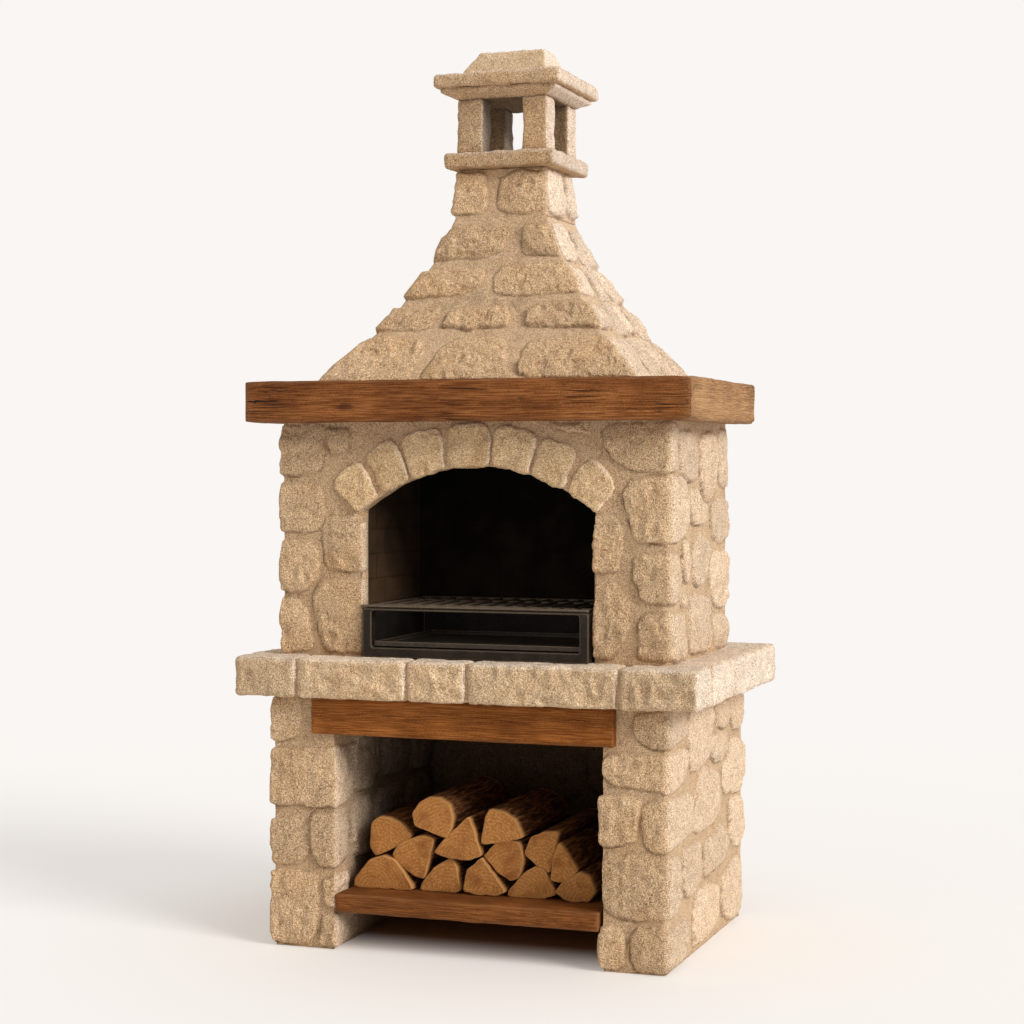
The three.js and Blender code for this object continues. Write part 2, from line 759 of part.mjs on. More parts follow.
function rightFireboxWall() {
  const outer = wallRight - stoneRelief;
  const jambWidth = wallRight - openingRight;
  const frontCorner = new THREE.Vector3(openingRight, mortarFront, fireboxBottom);
  const sideCorner = new THREE.Vector3(outer, fireboxFront, fireboxBottom);
  const rearCorner = new THREE.Vector3(wallRight, mortarBack, fireboxBottom);
  const rearWidth = wallRight - rightWallInner;
  const body = joined([
    block(rightWallInner, outer, mortarFront, mortarBack, fireboxBottom, fireboxTop),
    block(openingRight, outer, mortarFront, jambBack, fireboxBottom, fireboxTop),
    ...faceStones(frontCorner, east, jambWidth, fireboxHeight, rightJambShares, stoneRelief),
    ...faceStones(sideCorner, north, fireboxDepth, fireboxHeight, fireboxRightShares, stoneRelief),
    ...faceStones(rearCorner, west, rearWidth, fireboxHeight, sideRearShares, stoneRelief),
  ]);
  const inside = block(openingRight, wallRight, fireboxFront, fireboxBack, fireboxBottom, fireboxTop);
  const right = spandrelRight + clearance;
  const bottom = spandrelBottom - clearance;
  const back = jambBack + clearance;
  const notchFront = fireboxFront - overrun;
  const notch = block(openingRight - overrun, right, notchFront, back, bottom, fireboxTop + overrun);
  return body.intersect(inside).subtract(notch);
}

function rearFireboxWall() {
  const left = leftWallInner + clearance;
  const right = rightWallInner - clearance;
  const corner = new THREE.Vector3(right, mortarBack, fireboxBottom);
  const wall = block(left, right, rearWallFront, mortarBack, fireboxBottom, fireboxTop);
  const stones = faceStones(corner, west, right - left, fireboxHeight, fireboxRearShares, stoneRelief);
  return joined([wall, ...stones]);
}

// Arch: seven stones on radial joints, each in a pocket of the spandrel
const voussoirCount = 7;
const voussoirCutShares = [0.14, 0.2, 0.1, 0.17];
const springerShare = 0.2;
const archSegments = 96;
const archReach = archAngle * 2 + (voussoirLength / archRadius) * springerShare;

// An arch stone's outline in X and Z: polar corners, cut, with a bowed back
function voussoirOutline(place) {
  const share = archReach / voussoirCount;
  const joint = voussoirJoint / archRadius / 2;
  const from = -archReach / 2 + place * share + joint;
  const to = -archReach / 2 + (place + 1) * share - joint;
  const cut = (corner) => voussoirCutShares[(place + corner) % voussoirCutShares.length];
  const point = (along, out) => {
    const angle = from + (to - from) * along;
    const radius = archRadius + voussoirLength * out;
    return new THREE.Vector2(openingShift + radius * Math.sin(angle), archCentre + radius * Math.cos(angle));
  };
  return [
    point(0, cut(0) / 2),
    point(cut(0) / 2, 0),
    point(1 / 2, 0),
    point(1 - cut(1) / 2, 0),
    point(1, cut(1) / 2),
    point(1, 1 - cut(2)),
    point(1 - cut(2), 1),
    point(cut(3), 1),
    point(0, 1 - cut(3)),
  ];
}

function voussoir(place) {
  return prismAlongY(voussoirOutline(place), fireboxFront, fireboxFront + voussoirDepth, stoneEdge / 2);
}

function archSpandrel() {
  const corner = new THREE.Vector3(spandrelLeft, mortarFront, spandrelBottom);
  const width = spandrelRight - spandrelLeft;
  const height = fireboxTop - spandrelBottom;
  const wall = block(spandrelLeft, spandrelRight, mortarFront, jambBack, spandrelBottom, fireboxTop);
  let body = joined([wall, ...faceStones(corner, east, width, height, spandrelShares, stoneRelief)]);
  const arch = new THREE.CylinderGeometry(archRadius, archRadius, frontWallThickness * 2, archSegments);
  arch.translate(openingShift, jambBack, archCentre);
  const under = block(
    openingLeft,
    openingRight,
    mortarFront - overrun,
    jambBack + overrun,
    spandrelBottom - overrun,
    springLevel,
  );
  body = body.subtract(solid(arch)).subtract(under);
  for (let place = 0; place < voussoirCount; place += 1) {
    const outline = grown(voussoirOutline(place), clearance);
    const back = fireboxFront + voussoirDepth + clearance;
    body = body.subtract(prismAlongY(outline, fireboxFront - overrun, back, 0));
  }
  return body;
}

// Firebrick lining: brick joints are grooves in the face towards the fire

function sideLining(face, outward) {
  const front = jambBack + clearance;
  const back = rearWallFront - rearLiningThickness - clearance * 2;
  const deep = face + outward * sideLiningThickness;
  const groove = face + outward * brickJointDepth;
  const proud = face - outward * overrun;
  const left = Math.min(face, deep);
  const right = Math.max(face, deep);
  const cutLeft = Math.min(proud, groove);
  const cutRight = Math.max(proud, groove);
  const body = block(left, right, front, back, fireboxBottom, fireboxTop);
  const courses = Math.floor(fireboxHeight / brickCourse);
  const cuts = [];
  for (let course = 1; course <= courses; course += 1) {
    const level = fireboxBottom + course * brickCourse;
    const low = level - brickJoint / 2;
    cuts.push(block(cutLeft, cutRight, front - overrun, back + overrun, low, low + brickJoint));
    const first = front + (course % 2 ? brickLength / 2 : brickLength / 4);
    if (first < back) {
      const top = Math.min(level, fireboxTop);
      cuts.push(block(cutLeft, cutRight, first, first + brickJoint, level - brickCourse, top));
    }
  }
  return body.subtract(joined(cuts));
}

function rearLining() {
  const left = leftWallInner + clearance;
  const right = rightWallInner - clearance;
  const back = rearWallFront - clearance;
  const face = back - rearLiningThickness;
  const body = block(left, right, face, back, fireboxBottom, fireboxTop);
  const courses = Math.floor(fireboxHeight / brickCourse / 2);
  const cuts = [];
  for (let course = 1; course <= courses; course += 1) {
    const level = fireboxBottom + course * brickCourse * 2;
    const low = level - brickJoint / 2;
    cuts.push(
      block(left - overrun, right + overrun, face - overrun, face + brickJointDepth, low, low + brickJoint),
    );
    for (let place = course % 2 ? 1 : 2; place * brickLength < right - left; place += 2) {
      const start = left + (place * brickLength) / 2 + brickLength / 2;
      const floor = level - brickCourse * 2;
      const groove = face + brickJointDepth;
      cuts.push(block(start, start + brickJoint, face - overrun, groove, floor, level));
    }
  }
  return body.subtract(joined(cuts));
}

// Grill box: a rounded steel frame in front, sheets at the sides and rear, and ledges for the pan

const boxLeft = openingLeft + boxSideClearance;
const boxRight = openingRight - boxSideClearance;
const boxFront = fireboxFront - frameProud;
const boxBottom = fireboxBottom;
const frameTop = boxBottom + frameHeight;
const sheetFront = boxFront + frameDepth + clearance;
const sheetBack = rearWallFront - rearLiningThickness - clearance - boxRearClearance;
const ledgeTop = frameTop - ledgeDrop;
const boxInnerLeft = boxLeft + sheetThickness;
const boxInnerRight = boxRight - sheetThickness;

const cornerSegments = 3;
const frameEdge = frameRound / 4;

function roundedOutline(left, right, bottom, top, radius) {
  const shape = new THREE.Shape();
  shape.moveTo(left + radius, bottom);
  shape.lineTo(right - radius, bottom);
  shape.absarc(right - radius, bottom + radius, radius, -Math.PI / 2, 0, false);
  shape.lineTo(right, top - radius);
  shape.absarc(right - radius, top - radius, radius, 0, Math.PI / 2, false);
  shape.lineTo(left + radius, top);
  shape.absarc(left + radius, top - radius, radius, Math.PI / 2, Math.PI, false);
  shape.lineTo(left, bottom + radius);
  shape.absarc(left + radius, bottom + radius, radius, Math.PI, (Math.PI * 3) / 2, false);
  return shape;
}

function grillFrontFrame() {
  const outer = roundedOutline(boxLeft, boxRight, boxBottom, frameTop, frameRound);
  const hole = roundedOutline(
    boxLeft + framePost,
    boxRight - framePost,
    boxBottom + frameFoot,
    frameTop - frameTopBar,
    frameRound,
  );
  outer.holes.push(new THREE.Path(hole.getPoints(cornerSegments)));
  const geometry = new THREE.ExtrudeGeometry(outer, {
    depth: frameDepth - frameEdge * 2,
    curveSegments: cornerSegments,
    bevelThickness: frameEdge,
    bevelSize: frameEdge,
    bevelOffset: -frameEdge,
    bevelSegments: 1,
  });
  geometry.rotateX(Math.PI / 2);
  geometry.translate(0, boxFront + frameDepth - frameEdge, 0);
  return solid(geometry);
}

function grillBox() {
  const leftSheet = block(boxLeft, boxInnerLeft, sheetFront, sheetBack, boxBottom, frameTop);
  const rightSheet = block(boxInnerRight, boxRight, sheetFront, sheetBack, boxBottom, frameTop);
  const rearSheet = block(boxLeft, boxRight, sheetBack - sheetThickness, sheetBack, boxBottom, frameTop);
  const ledgeBottom = ledgeTop - sheetThickness;
  const leftLedgeEnd = boxInnerLeft + ledgeWidth;
  const rightLedgeEnd = boxInnerRight - ledgeWidth;
  const leftLedge = block(boxLeft, leftLedgeEnd, sheetFront, sheetBack, ledgeBottom, ledgeTop);
  const rightLedge = block(rightLedgeEnd, boxRight, sheetFront, sheetBack, ledgeBottom, ledgeTop);
  const footRail = block(boxLeft, boxRight, sheetFront, sheetFront + ledgeWidth, boxBottom, ledgeBottom);
  return joined([leftSheet, rightSheet, rearSheet, leftLedge, rightLedge, footRail]);
}

const panBottom = ledgeTop + clearance;
const panLeft = boxLeft + framePost + panPlay;
const panRight = boxRight - framePost - panPlay;
const panFront = boxFront + frameDepth / 2;
const panBack = sheetBack - sheetThickness - clearance;

function emberPan() {
  const tray = block(panLeft, panRight, panFront, panBack, panBottom, panBottom + panHeight);
  const hollow = block(
    panLeft + panWall,
    panRight - panWall,
    panFront + panWall,
    panBack - panWall,
    panBottom + panWall,
    panBottom + panHeight + overrun,
  );
  return tray.subtract(hollow);
}

// Grate: bars from front to back between two end rods, stiffened by two rods beneath

const rodSides = 6;
const barSides = 6;
const barShare = 0.8;

function rodAlongX(left, right, y, z, radius) {
  const geometry = new THREE.CylinderGeometry(radius, radius, right - left, rodSides);
  geometry.rotateY(Math.PI / rodSides);
  geometry.rotateZ(Math.PI / 2);
  geometry.translate((left + right) / 2, y, z);
  return solid(geometry);
}

function rodAlongY(x, front, back, z, radius) {
  const geometry = new THREE.CylinderGeometry(radius, radius, back - front, barSides);
  geometry.rotateY(Math.PI / barSides);
  geometry.translate(x, (front + back) / 2, z);
  return solid(geometry);
}

const grateLevel = frameTop + clearance + grateRod / 2;
const grateFront = boxFront + frameDepth / 2;
const grateBack = sheetBack - grateInset;

function cookingGrate() {
  const radius = grateRod / 2;
  const left = boxLeft - grateLip;
  const right = boxRight - grateInset / 2;
  const rods = [
    rodAlongX(left, right, grateFront, grateLevel, radius),
    rodAlongX(boxLeft, right, grateBack, grateLevel, radius),
  ];
  const first = boxLeft + grateInset;
  const pitch = (boxRight - grateInset - first) / (grateBarCount - 1);
  for (let bar = 0; bar < grateBarCount; bar += 1) {
    rods.push(rodAlongY(first + bar * pitch, grateFront, grateBack, grateLevel, radius * barShare));
  }
  const crossLevel = frameTop + clearance + crossRod / 2;
  const crossLeft = boxLeft + grateInset / 2;
  const crossRight = boxRight - grateInset / 2;
  rods.push(
    rodAlongX(crossLeft, crossRight, grateFront + crossRodInset, crossLevel, crossRod / 2),
    rodAlongX(crossLeft, crossRight, grateBack - crossRodInset, crossLevel, crossRod / 2),
  );
  return joined(rods);
}

// Mantel: three beams, mitred at the front corners

const mantelLeft = -mantelWidth / 2;
const mantelRight = mantelWidth / 2;
const mantelInnerFront = mantelFront + mantelDepth;

function timberSection(across, low, high, edge) {
  return rectangleRing(0, across, low, high, 0, edge).map((point) => new THREE.Vector2(point.x, point.y));
}

// A wedge that holds what lies behind the mitre line through a front corner
function mitreKeeper(side, gap) {
  const reach = mantelWidth;
  const cornerX = (side * mantelWidth) / 2;
  const outline = [
    new THREE.Vector2(cornerX + side * overrun, mantelFront - overrun + gap),
    new THREE.Vector2(cornerX + side * overrun, mantelFront + reach),
    new THREE.Vector2(cornerX - side * reach, mantelFront + reach + gap),
  ];
  const shape = new THREE.Shape(side > 0 ? outline : outline.reverse());
  const geometry = new THREE.ExtrudeGeometry(shape, {
    depth: mantelHeight + overrun * 2,
    bevelEnabled: false,
  });
  geometry.translate(0, 0, mantelBottom - overrun);
  return solid(geometry);
}

function mantelFrontBeam() {
  const beam = timberAlongX(
    mantelLeft,
    mantelRight,
    mantelFront,
    mantelInnerFront,
    mantelBottom,
    mantelTop,
    mantelEdge,
  );
  return beam.subtract(mitreKeeper(1, 0)).subtract(mitreKeeper(-1, 0));
}

function mantelSideBeam(side) {
  const outline = timberSection(mantelDepth, mantelBottom, mantelTop, mantelEdge);
  const geometry = new THREE.ExtrudeGeometry(new THREE.Shape(outline), {
    depth: mantelBack - mantelFront,
    bevelEnabled: false,
  });
  geometry.rotateX(Math.PI / 2);
  const left = side > 0 ? mantelRight - mantelDepth : mantelLeft;
  geometry.translate(left, mantelBack, 0);
  return solid(geometry).intersect(mitreKeeper(side, clearance * 2));
}

// Hood: a shell through rings whose heights and spreads are shares between its foot and the neck

const hoodRiseShares = [0, 0.263, 0.539, 0.77, 1];
const hoodSpreadShares = [1, 0.638, 0.352, 0.145, 0];
const hoodFrontSpreadShares = [1, 0.568, 0.252, 0.077, 0];
const hoodBackSpreadShares = [1, 0.95, 0.57, 0.15, 0];
const riseSearchSteps = 30;

// The spread at a share of the hood's height, read from a smooth curve through the shares by halving
function smoothShare(shares, rise) {
  const points = shares.map((share, place) => new THREE.Vector3(hoodRiseShares[place], share, 0));
  const curve = new THREE.CatmullRomCurve3(points);
  let low = 0;
  let high = 1;
  for (let step = 0; step < riseSearchSteps; step += 1) {
    const middle = (low + high) / 2;
    if (curve.getPoint(middle).x < rise) {
      low = middle;
    } else {
      high = middle;
    }
  }
  return curve.getPoint(low).y;
}

// Half width, front and back of the hood at a share of its height
function hoodSection(rise) {
  const spread = smoothShare(hoodSpreadShares, rise);
  const frontSpread = smoothShare(hoodFrontSpreadShares, rise);
  const backSpread = smoothShare(hoodBackSpreadShares, rise);
  return {
    half: neckFootHalfWidth + (hoodFootHalfWidth - neckFootHalfWidth) * spread,
    front: -neckFootFront - (hoodFootFront - neckFootFront) * frontSpread,
    back: neckFootBack + (hoodFootBack - neckFootBack) * backSpread,
    level: hoodBottom + rise * hoodHeight,
  };
}

function neckSection(rise) {
  return {
    half: neckFootHalfWidth + (neckTopHalfWidth - neckFootHalfWidth) * rise,
    front: -neckFootFront - (neckTopFront - neckFootFront) * rise,
    back: neckFootBack + (neckTopBack - neckFootBack) * rise,
    level: neckBottom + rise * neckHeight,
  };
}

function sectionRing({ half, front, back, level }, inset, lift) {
  return rectangleRing(-half + inset, half - inset, front + inset, back - inset, level + lift, 0).filter(
    (point, place) => place % 2 === 0,
  );
}

// Stones on one side of a tapered shell, each on the plane that touches the shell at its middle
function shellStones(section, shares, side, height) {
  return shares.map(([left, right, bottom, top], turn) => {
    const spot = (across, rise) => {
      const { half, front, back, level } = section(rise);
      const middle = (front + back) / 2;
      const halfDepth = (back - front) / 2;
      if (side === "front") return new THREE.Vector3(across * half, front, level);
      if (side === "back") return new THREE.Vector3(-across * half, back, level);
      if (side === "right") return new THREE.Vector3(half, middle + across * halfDepth, level);
      return new THREE.Vector3(-half, middle - across * halfDepth, level);
    };
    const rise = (bottom + top) / 2;
    const origin = spot(0, rise);
    const along = { front: east, back: west, right: north, left: south }[side];
    const slope = spot(0, top).sub(spot(0, bottom));
    const up = slope.addScaledVector(along, -slope.dot(along)).normalize();
    const unit = rubbleOutline([left, right, bottom, top], height, height, turn);
    const outline = unit.map((point) => {
      const place = spot(point.x / height, point.y / height).sub(origin);
      return new THREE.Vector2(place.dot(along), place.dot(up));
    });
    const out = new THREE.Vector3().crossVectors(along, up);
    const mortar = origin.clone().addScaledVector(out, -hoodRelief);
    return raisedStone(outline, mortar, along, up, hoodRelief);
  });
}

function smokeHood() {
  const outer = [];
  const inner = [];
  for (let ring = 0; ring < hoodRingCount; ring += 1) {
    const rise = ring / (hoodRingCount - 1);
    const lift = ring === 0 ? -overrun : ring === hoodRingCount - 1 ? overrun : 0;
    outer.push(sectionRing(hoodSection(rise), hoodRelief, 0));
    inner.push(sectionRing(hoodSection(rise), hoodWall, lift));
  }
  const stones = [
    ...shellStones(hoodSection, hoodFrontShares, "front", hoodHeight),
    ...shellStones(hoodSection, hoodBackShares, "back", hoodHeight),
    ...shellStones(hoodSection, hoodSideShares, "right", hoodHeight),
    ...shellStones(hoodSection, mirroredAcross(hoodSideShares), "left", hoodHeight),
  ];
  const skirtLeft = mantelLeft + mantelDepth + clearance;
  const skirtRight = mantelRight - mantelDepth - clearance;
  const skirtFront = mantelInnerFront + clearance;
  const skirtTop = hoodBottom + hoodRelief;
  const skirt = block(skirtLeft, skirtRight, skirtFront, fireboxBack, mantelBottom, skirtTop);
  const throat = block(
    skirtLeft + hoodWall,
    skirtRight - hoodWall,
    skirtFront + hoodWall,
    fireboxBack - hoodWall,
    mantelBottom - overrun,
    hoodBottom,
  );
  const cover = block(-hearthWidth, hearthWidth, -hearthDepth, hearthDepth, hoodBottom, hoodTop);
  const shell = joined([loft(outer), ...stones]).intersect(cover);
  return joined([shell, skirt]).subtract(throat).subtract(loft(inner));
}

function mirroredAcross(shares) {
  return shares.map(([left, right, bottom, top]) => [-right, -left, bottom, top]);
}

function chimneyNeck() {
  const outer = [sectionRing(neckSection(0), hoodRelief, 0), sectionRing(neckSection(1), hoodRelief, 0)];
  const inner = [
    sectionRing(neckSection(0), neckWall, -overrun),
    sectionRing(neckSection(1), neckWall, overrun),
  ];
  const stones = [
    ...shellStones(neckSection, neckFrontShares, "front", neckHeight),
    ...shellStones(neckSection, neckFrontShares, "back", neckHeight),
    ...shellStones(neckSection, neckSideShares, "right", neckHeight),
    ...shellStones(neckSection, mirroredAcross(neckSideShares), "left", neckHeight),
  ];
  return joined([loft(outer), ...stones]).subtract(loft(inner));
}

// Cap: a plate with the flue hole, four posts, a moulded architrave and a flat-topped pyramid roof

const flueHalf = neckTopHalfWidth - neckWall;

function capPlate() {
  const half = capPlateWidth / 2;
  const top = capPlateBottom + capPlateThickness;
  const plate = dressedStone(
    -half,
    half,
    capCentre - half,
    capCentre + half,
    capPlateBottom,
    top,
    capPlateEdge,
  );
  const hole = block(
    -flueHalf,
    flueHalf,
    capCentre - flueHalf,
    capCentre + flueHalf,
    capPlateBottom - overrun,
    top + overrun,
  );
  return plate.subtract(hole);
}

function capPost(sideX, sideY) {
  const reach = capPostSpan / 2;
  const centreX = sideX * (reach - capPostWidth / 2);
  const centreY = capCentre + sideY * (reach - capPostWidth / 2);
  const half = capPostWidth / 2;
  const top = capPostBottom + capPostHeight;
  const ring = (level) =>
    rectangleRing(centreX - half, centreX + half, centreY - half, centreY + half, level, capPostEdge);
  return loft([ring(capPostBottom), ring(top)]);
}

function squareRing(halfWidth, level, cut) {
  return rectangleRing(
    -halfWidth,
    halfWidth,
    capCentre - halfWidth,
    capCentre + halfWidth,
    level,
    cut,
  );
}

function capArchitrave() {
  const foot = capPostSpan / 2 + capPostEdge;
  const half = architraveWidth / 2;
  const top = architraveBottom + architraveHeight;
  const fascia = top - architraveFascia;
  const hollow = (half - foot) / 2;
  return loft([
    squareRing(foot, architraveBottom, capPostEdge),
    squareRing(foot + hollow / 2, (architraveBottom + fascia) / 2, capPostEdge),
    squareRing(half - hollow / 2, fascia - capPostEdge / 2, capPostEdge),
    squareRing(half, fascia, capPostEdge),
    squareRing(half, top, capPostEdge),
  ]);
}

function pyramidTopRing(inset, level) {
  const halfWidth = pyramidTopWidth / 2 - inset;
  const halfDepth = pyramidTopDepth / 2 - inset;
  const front = capCentre - halfDepth;
  const back = capCentre + halfDepth;
  return rectangleRing(-halfWidth, halfWidth, front, back, level, roofEdge);
}

function capRoof() {
  const half = roofWidth / 2;
  const slabTop = roofBottom + roofSlab;
  const slab = dressedStone(
    -half,
    half,
    capCentre - half,
    capCentre + half,
    roofBottom,
    slabTop,
    roofEdge,
  );
  const top = slabTop + pyramidHeight;
  const pyramid = loft([
    squareRing(pyramidBase / 2, slabTop - roofEdge, roofEdge),
    squareRing(pyramidBase / 2, slabTop + roofEdge / 2, roofEdge),
    pyramidTopRing(0, top - roofEdge),
    pyramidTopRing(roofEdge, top),
  ]);
  return slab.add(pyramid);
}

// Logs: split quarters and halves as outlines in shares of the pile's width, lowered until they rest
const pileShiftShare = -0.05;
const pileWidth = bayRight - bayLeft - pilePlay;
const pileCentre = (bayLeft + bayRight) / 2 + pileWidth * pileShiftShare;

const logShares = [
  [
    [-0.442, 0],
    [-0.202, 0],
    [-0.247, 0.072],
    [-0.281, 0.11],
    [-0.321, 0.123],
    [-0.378, 0.108],
    [-0.44, 0.03],
  ],
  [
    [-0.182, 0],
    [-0.04, 0],
    [-0.021, 0.012],
    [-0.039, 0.102],
    [-0.058, 0.128],
    [-0.13, 0.085],
    [-0.175, 0.028],
  ],
  [[-0.007, 0.008], [0.05, 0], [0.118, 0], [0.156, 0.018], [0.104, 0.087], [0.064, 0.138], [0.008, 0.087]],
  [[0.159, 0], [0.294, 0], [0.345, 0.018], [0.298, 0.106], [0.263, 0.115], [0.226, 0.097], [0.16, 0.018]],
  [[0.349, 0.03], [0.387, 0], [0.475, 0], [0.5, 0.035], [0.476, 0.093], [0.442, 0.11], [0.374, 0.064]],
  [
    [-0.291, 0.128],
    [-0.248, 0.082],
    [-0.198, 0.05],
    [-0.163, 0.045],
    [-0.128, 0.196],
    [-0.164, 0.207],
    [-0.223, 0.193],
    [-0.268, 0.163],
  ],
  [
    [-0.362, 0.105],
    [-0.269, 0.149],
    [-0.219, 0.186],
    [-0.261, 0.232],
    [-0.303, 0.249],
    [-0.351, 0.253],
    [-0.38, 0.231],
    [-0.389, 0.142],
  ],
  [
    [-0.121, 0.144],
    [-0.049, 0.128],
    [0.015, 0.125],
    [0.066, 0.144],
    [0.031, 0.25],
    [0.014, 0.29],
    [-0.083, 0.193],
  ],
  [
    [0.069, 0.156],
    [0.128, 0.097],
    [0.174, 0.072],
    [0.203, 0.084],
    [0.222, 0.137],
    [0.21, 0.214],
    [0.171, 0.222],
    [0.117, 0.207],
  ],
  [[0.329, 0.062], [0.37, 0.059], [0.403, 0.077], [0.431, 0.104], [0.362, 0.203], [0.343, 0.155]],
  [[0.226, 0.16], [0.279, 0.115], [0.321, 0.093], [0.354, 0.247], [0.296, 0.242], [0.249, 0.221]],
  [
    [-0.197, 0.238],
    [-0.07, 0.2],
    [-0.048, 0.232],
    [-0.043, 0.281],
    [-0.057, 0.321],
    [-0.096, 0.347],
    [-0.136, 0.348],
    [-0.178, 0.327],
    [-0.206, 0.283],
  ],
  [
    [0.062, 0.206],
    [0.224, 0.24],
    [0.215, 0.27],
    [0.19, 0.308],
    [0.154, 0.329],
    [0.095, 0.338],
    [0.079, 0.317],
  ],
];
const logEndShares = [0, 0.03, 0.01, 0.04, 0.02, 0.03, 0.05, 0.01, 0.04, 0.02, 0.05, 0, 0.02];

// Height of a closed outline's upper or lower side over a place across, or null beside it
function sideHeight(outline, across, upper) {
  let found = null;
  outline.forEach((point, place) => {
    const next = outline[(place + 1) % outline.length];
    const low = Math.min(point.x, next.x);
    const high = Math.max(point.x, next.x);
    if (across < low || across > high || low === high) return;
    const height = point.y + ((next.y - point.y) * (across - point.x)) / (next.x - point.x);
    if (found === null || (upper ? height > found : height < found)) found = height;
  });
  return found;
}

// How far one outline can drop before it meets another
function dropOnto(outline, below) {
  let drop = Infinity;
  const places = [...outline, ...below].map((point) => point.x);
  places.forEach((across) => {
    const under = sideHeight(outline, across, false);
    const over = sideHeight(below, across, true);
    if (under !== null && over !== null) drop = Math.min(drop, under - over);
  });
  return drop;
}

function logOutlines() {
  const shelfTop = shelfUnderside + shelfThickness;
  const lift = baseHeight;
  const settled = [];
  logShares.forEach((shares) => {
    const raised = shares.map(
      ([x, z]) => new THREE.Vector2(pileCentre + x * pileWidth, shelfTop + lift + z * pileWidth),
    );
    let drop = Math.min(...raised.map((point) => point.y)) - shelfTop - clearance;
    settled.forEach((below) => {
      drop = Math.min(drop, dropOnto(raised, below) - logGap);
    });
    settled.push(raised.map((point) => new THREE.Vector2(point.x, point.y - drop)));
  });
  return settled;
}

function splitLogs() {
  return logOutlines().map((outline, place) => {
    const front = baseFront + logFrontInset + logEndShares[place] * logLength;
    return prismAlongY(outline, front, front + logLength, timberEdge / 2);
  });
}

// Materials

function stone(color) {
  return new THREE.MeshStandardMaterial({ color, roughness: 0.93, metalness: 0 });
}

function timber(color) {
  return new THREE.MeshStandardMaterial({ color, roughness: 0.62, metalness: 0 });
}

function steel(color) {
  return new THREE.MeshStandardMaterial({ color, roughness: 0.48, metalness: 0.75 });
}

const barbecue = new THREE.Group();

function place(name, manifold, material) {
  const mesh = new THREE.Mesh(geometryOf(manifold), material);
  mesh.name = name;
  barbecue.add(mesh);
}

place("left_pier", leftPier(), stone(0xc8ad88));
place("right_pier", rightPier(), stone(0xd2b892));
place("base_rear_wall", baseRearWall(), stone(0xbfa581));
place("log_shelf", logShelf(), timber(0x7a4a28));
place("lintel_beam", lintelBeam(), timber(0x85522c));
hearthPieces().forEach(([name, piece]) => place(name, piece, stone(0xcbb189)));
place("firebox_wall_left", leftFireboxWall(), stone(0xc9af8a));
place("firebox_wall_right", rightFireboxWall(), stone(0xd6bd97));
place("firebox_wall_rear", rearFireboxWall(), stone(0xc2a884));
place("arch_spandrel", archSpandrel(), stone(0xb39a76));
for (let number = 0; number < voussoirCount; number += 1) {
  place(`voussoir_${number + 1}`, voussoir(number), stone(0xcfb48c));
}
place("lining_left", sideLining(liningLeftFace, -1), stone(0x4a3a2c));
place("lining_right", sideLining(liningRightFace, 1), stone(0x2e241c));
place("lining_rear", rearLining(), stone(0x241c16));
place("grill_front_frame", grillFrontFrame(), steel(0x35312e));
place("grill_box", grillBox(), steel(0x2a2725));
place("ember_pan", emberPan(), steel(0x3a3734));
place("cooking_grate", cookingGrate(), steel(0x2f2c2a));
place("mantel_front", mantelFrontBeam(), timber(0x8a5530));
place("mantel_left", mantelSideBeam(-1), timber(0x80502d));
place("mantel_right", mantelSideBeam(1), timber(0xa26d42));
place("smoke_hood", smokeHood(), stone(0xcdb38d));
place("chimney_neck", chimneyNeck(), stone(0xcbb08a));
place("cap_plate", capPlate(), stone(0xc4a67c));
place("cap_post_front_left", capPost(-1, -1), stone(0xbd9f76));
place("cap_post_front_right", capPost(1, -1), stone(0xbd9f76));
place("cap_post_rear_left", capPost(-1, 1), stone(0xb7996f));
place("cap_post_rear_right", capPost(1, 1), stone(0xb7996f));
place("cap_architrave", capArchitrave(), stone(0xc0a278));
place("cap_roof", capRoof(), stone(0xc4a67c));
splitLogs().forEach((log, number) => {
  const label = String(number + 1).padStart(2, "0");
  place(`split_log_${label}`, log, timber(0xb98a55));
});

export default barbecue;
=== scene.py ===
# %% [markdown]
# # Outdoor masonry barbecue
# A barbecue of rough beige stone: two piers and a shelf of split logs below, a stone hearth, an arched
# firebox with a steel grill box, an oak mantel, and a stone hood that narrows to a capped chimney.
# The frame holds every part at its real size. This lesson gives each part its finish, in metres.

import json
import math

import bpy
import numpy as np
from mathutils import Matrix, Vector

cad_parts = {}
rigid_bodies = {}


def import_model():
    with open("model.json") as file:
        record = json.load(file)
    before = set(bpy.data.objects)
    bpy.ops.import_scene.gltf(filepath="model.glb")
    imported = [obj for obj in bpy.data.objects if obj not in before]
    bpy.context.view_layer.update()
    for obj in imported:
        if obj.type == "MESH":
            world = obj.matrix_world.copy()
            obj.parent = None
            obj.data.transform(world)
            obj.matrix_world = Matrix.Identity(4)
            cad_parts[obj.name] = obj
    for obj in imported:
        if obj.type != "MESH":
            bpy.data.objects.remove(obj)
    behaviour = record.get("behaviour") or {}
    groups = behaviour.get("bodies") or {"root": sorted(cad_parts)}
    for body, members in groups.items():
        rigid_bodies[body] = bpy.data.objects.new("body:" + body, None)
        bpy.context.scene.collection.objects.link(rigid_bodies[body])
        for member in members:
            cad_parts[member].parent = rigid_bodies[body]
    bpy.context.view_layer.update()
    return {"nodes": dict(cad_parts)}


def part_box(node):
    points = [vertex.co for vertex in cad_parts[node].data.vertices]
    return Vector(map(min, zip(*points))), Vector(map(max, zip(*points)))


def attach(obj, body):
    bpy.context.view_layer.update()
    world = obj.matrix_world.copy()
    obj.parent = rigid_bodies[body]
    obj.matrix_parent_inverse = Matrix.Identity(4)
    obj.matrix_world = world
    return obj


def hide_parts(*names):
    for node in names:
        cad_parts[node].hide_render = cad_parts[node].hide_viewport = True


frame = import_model()
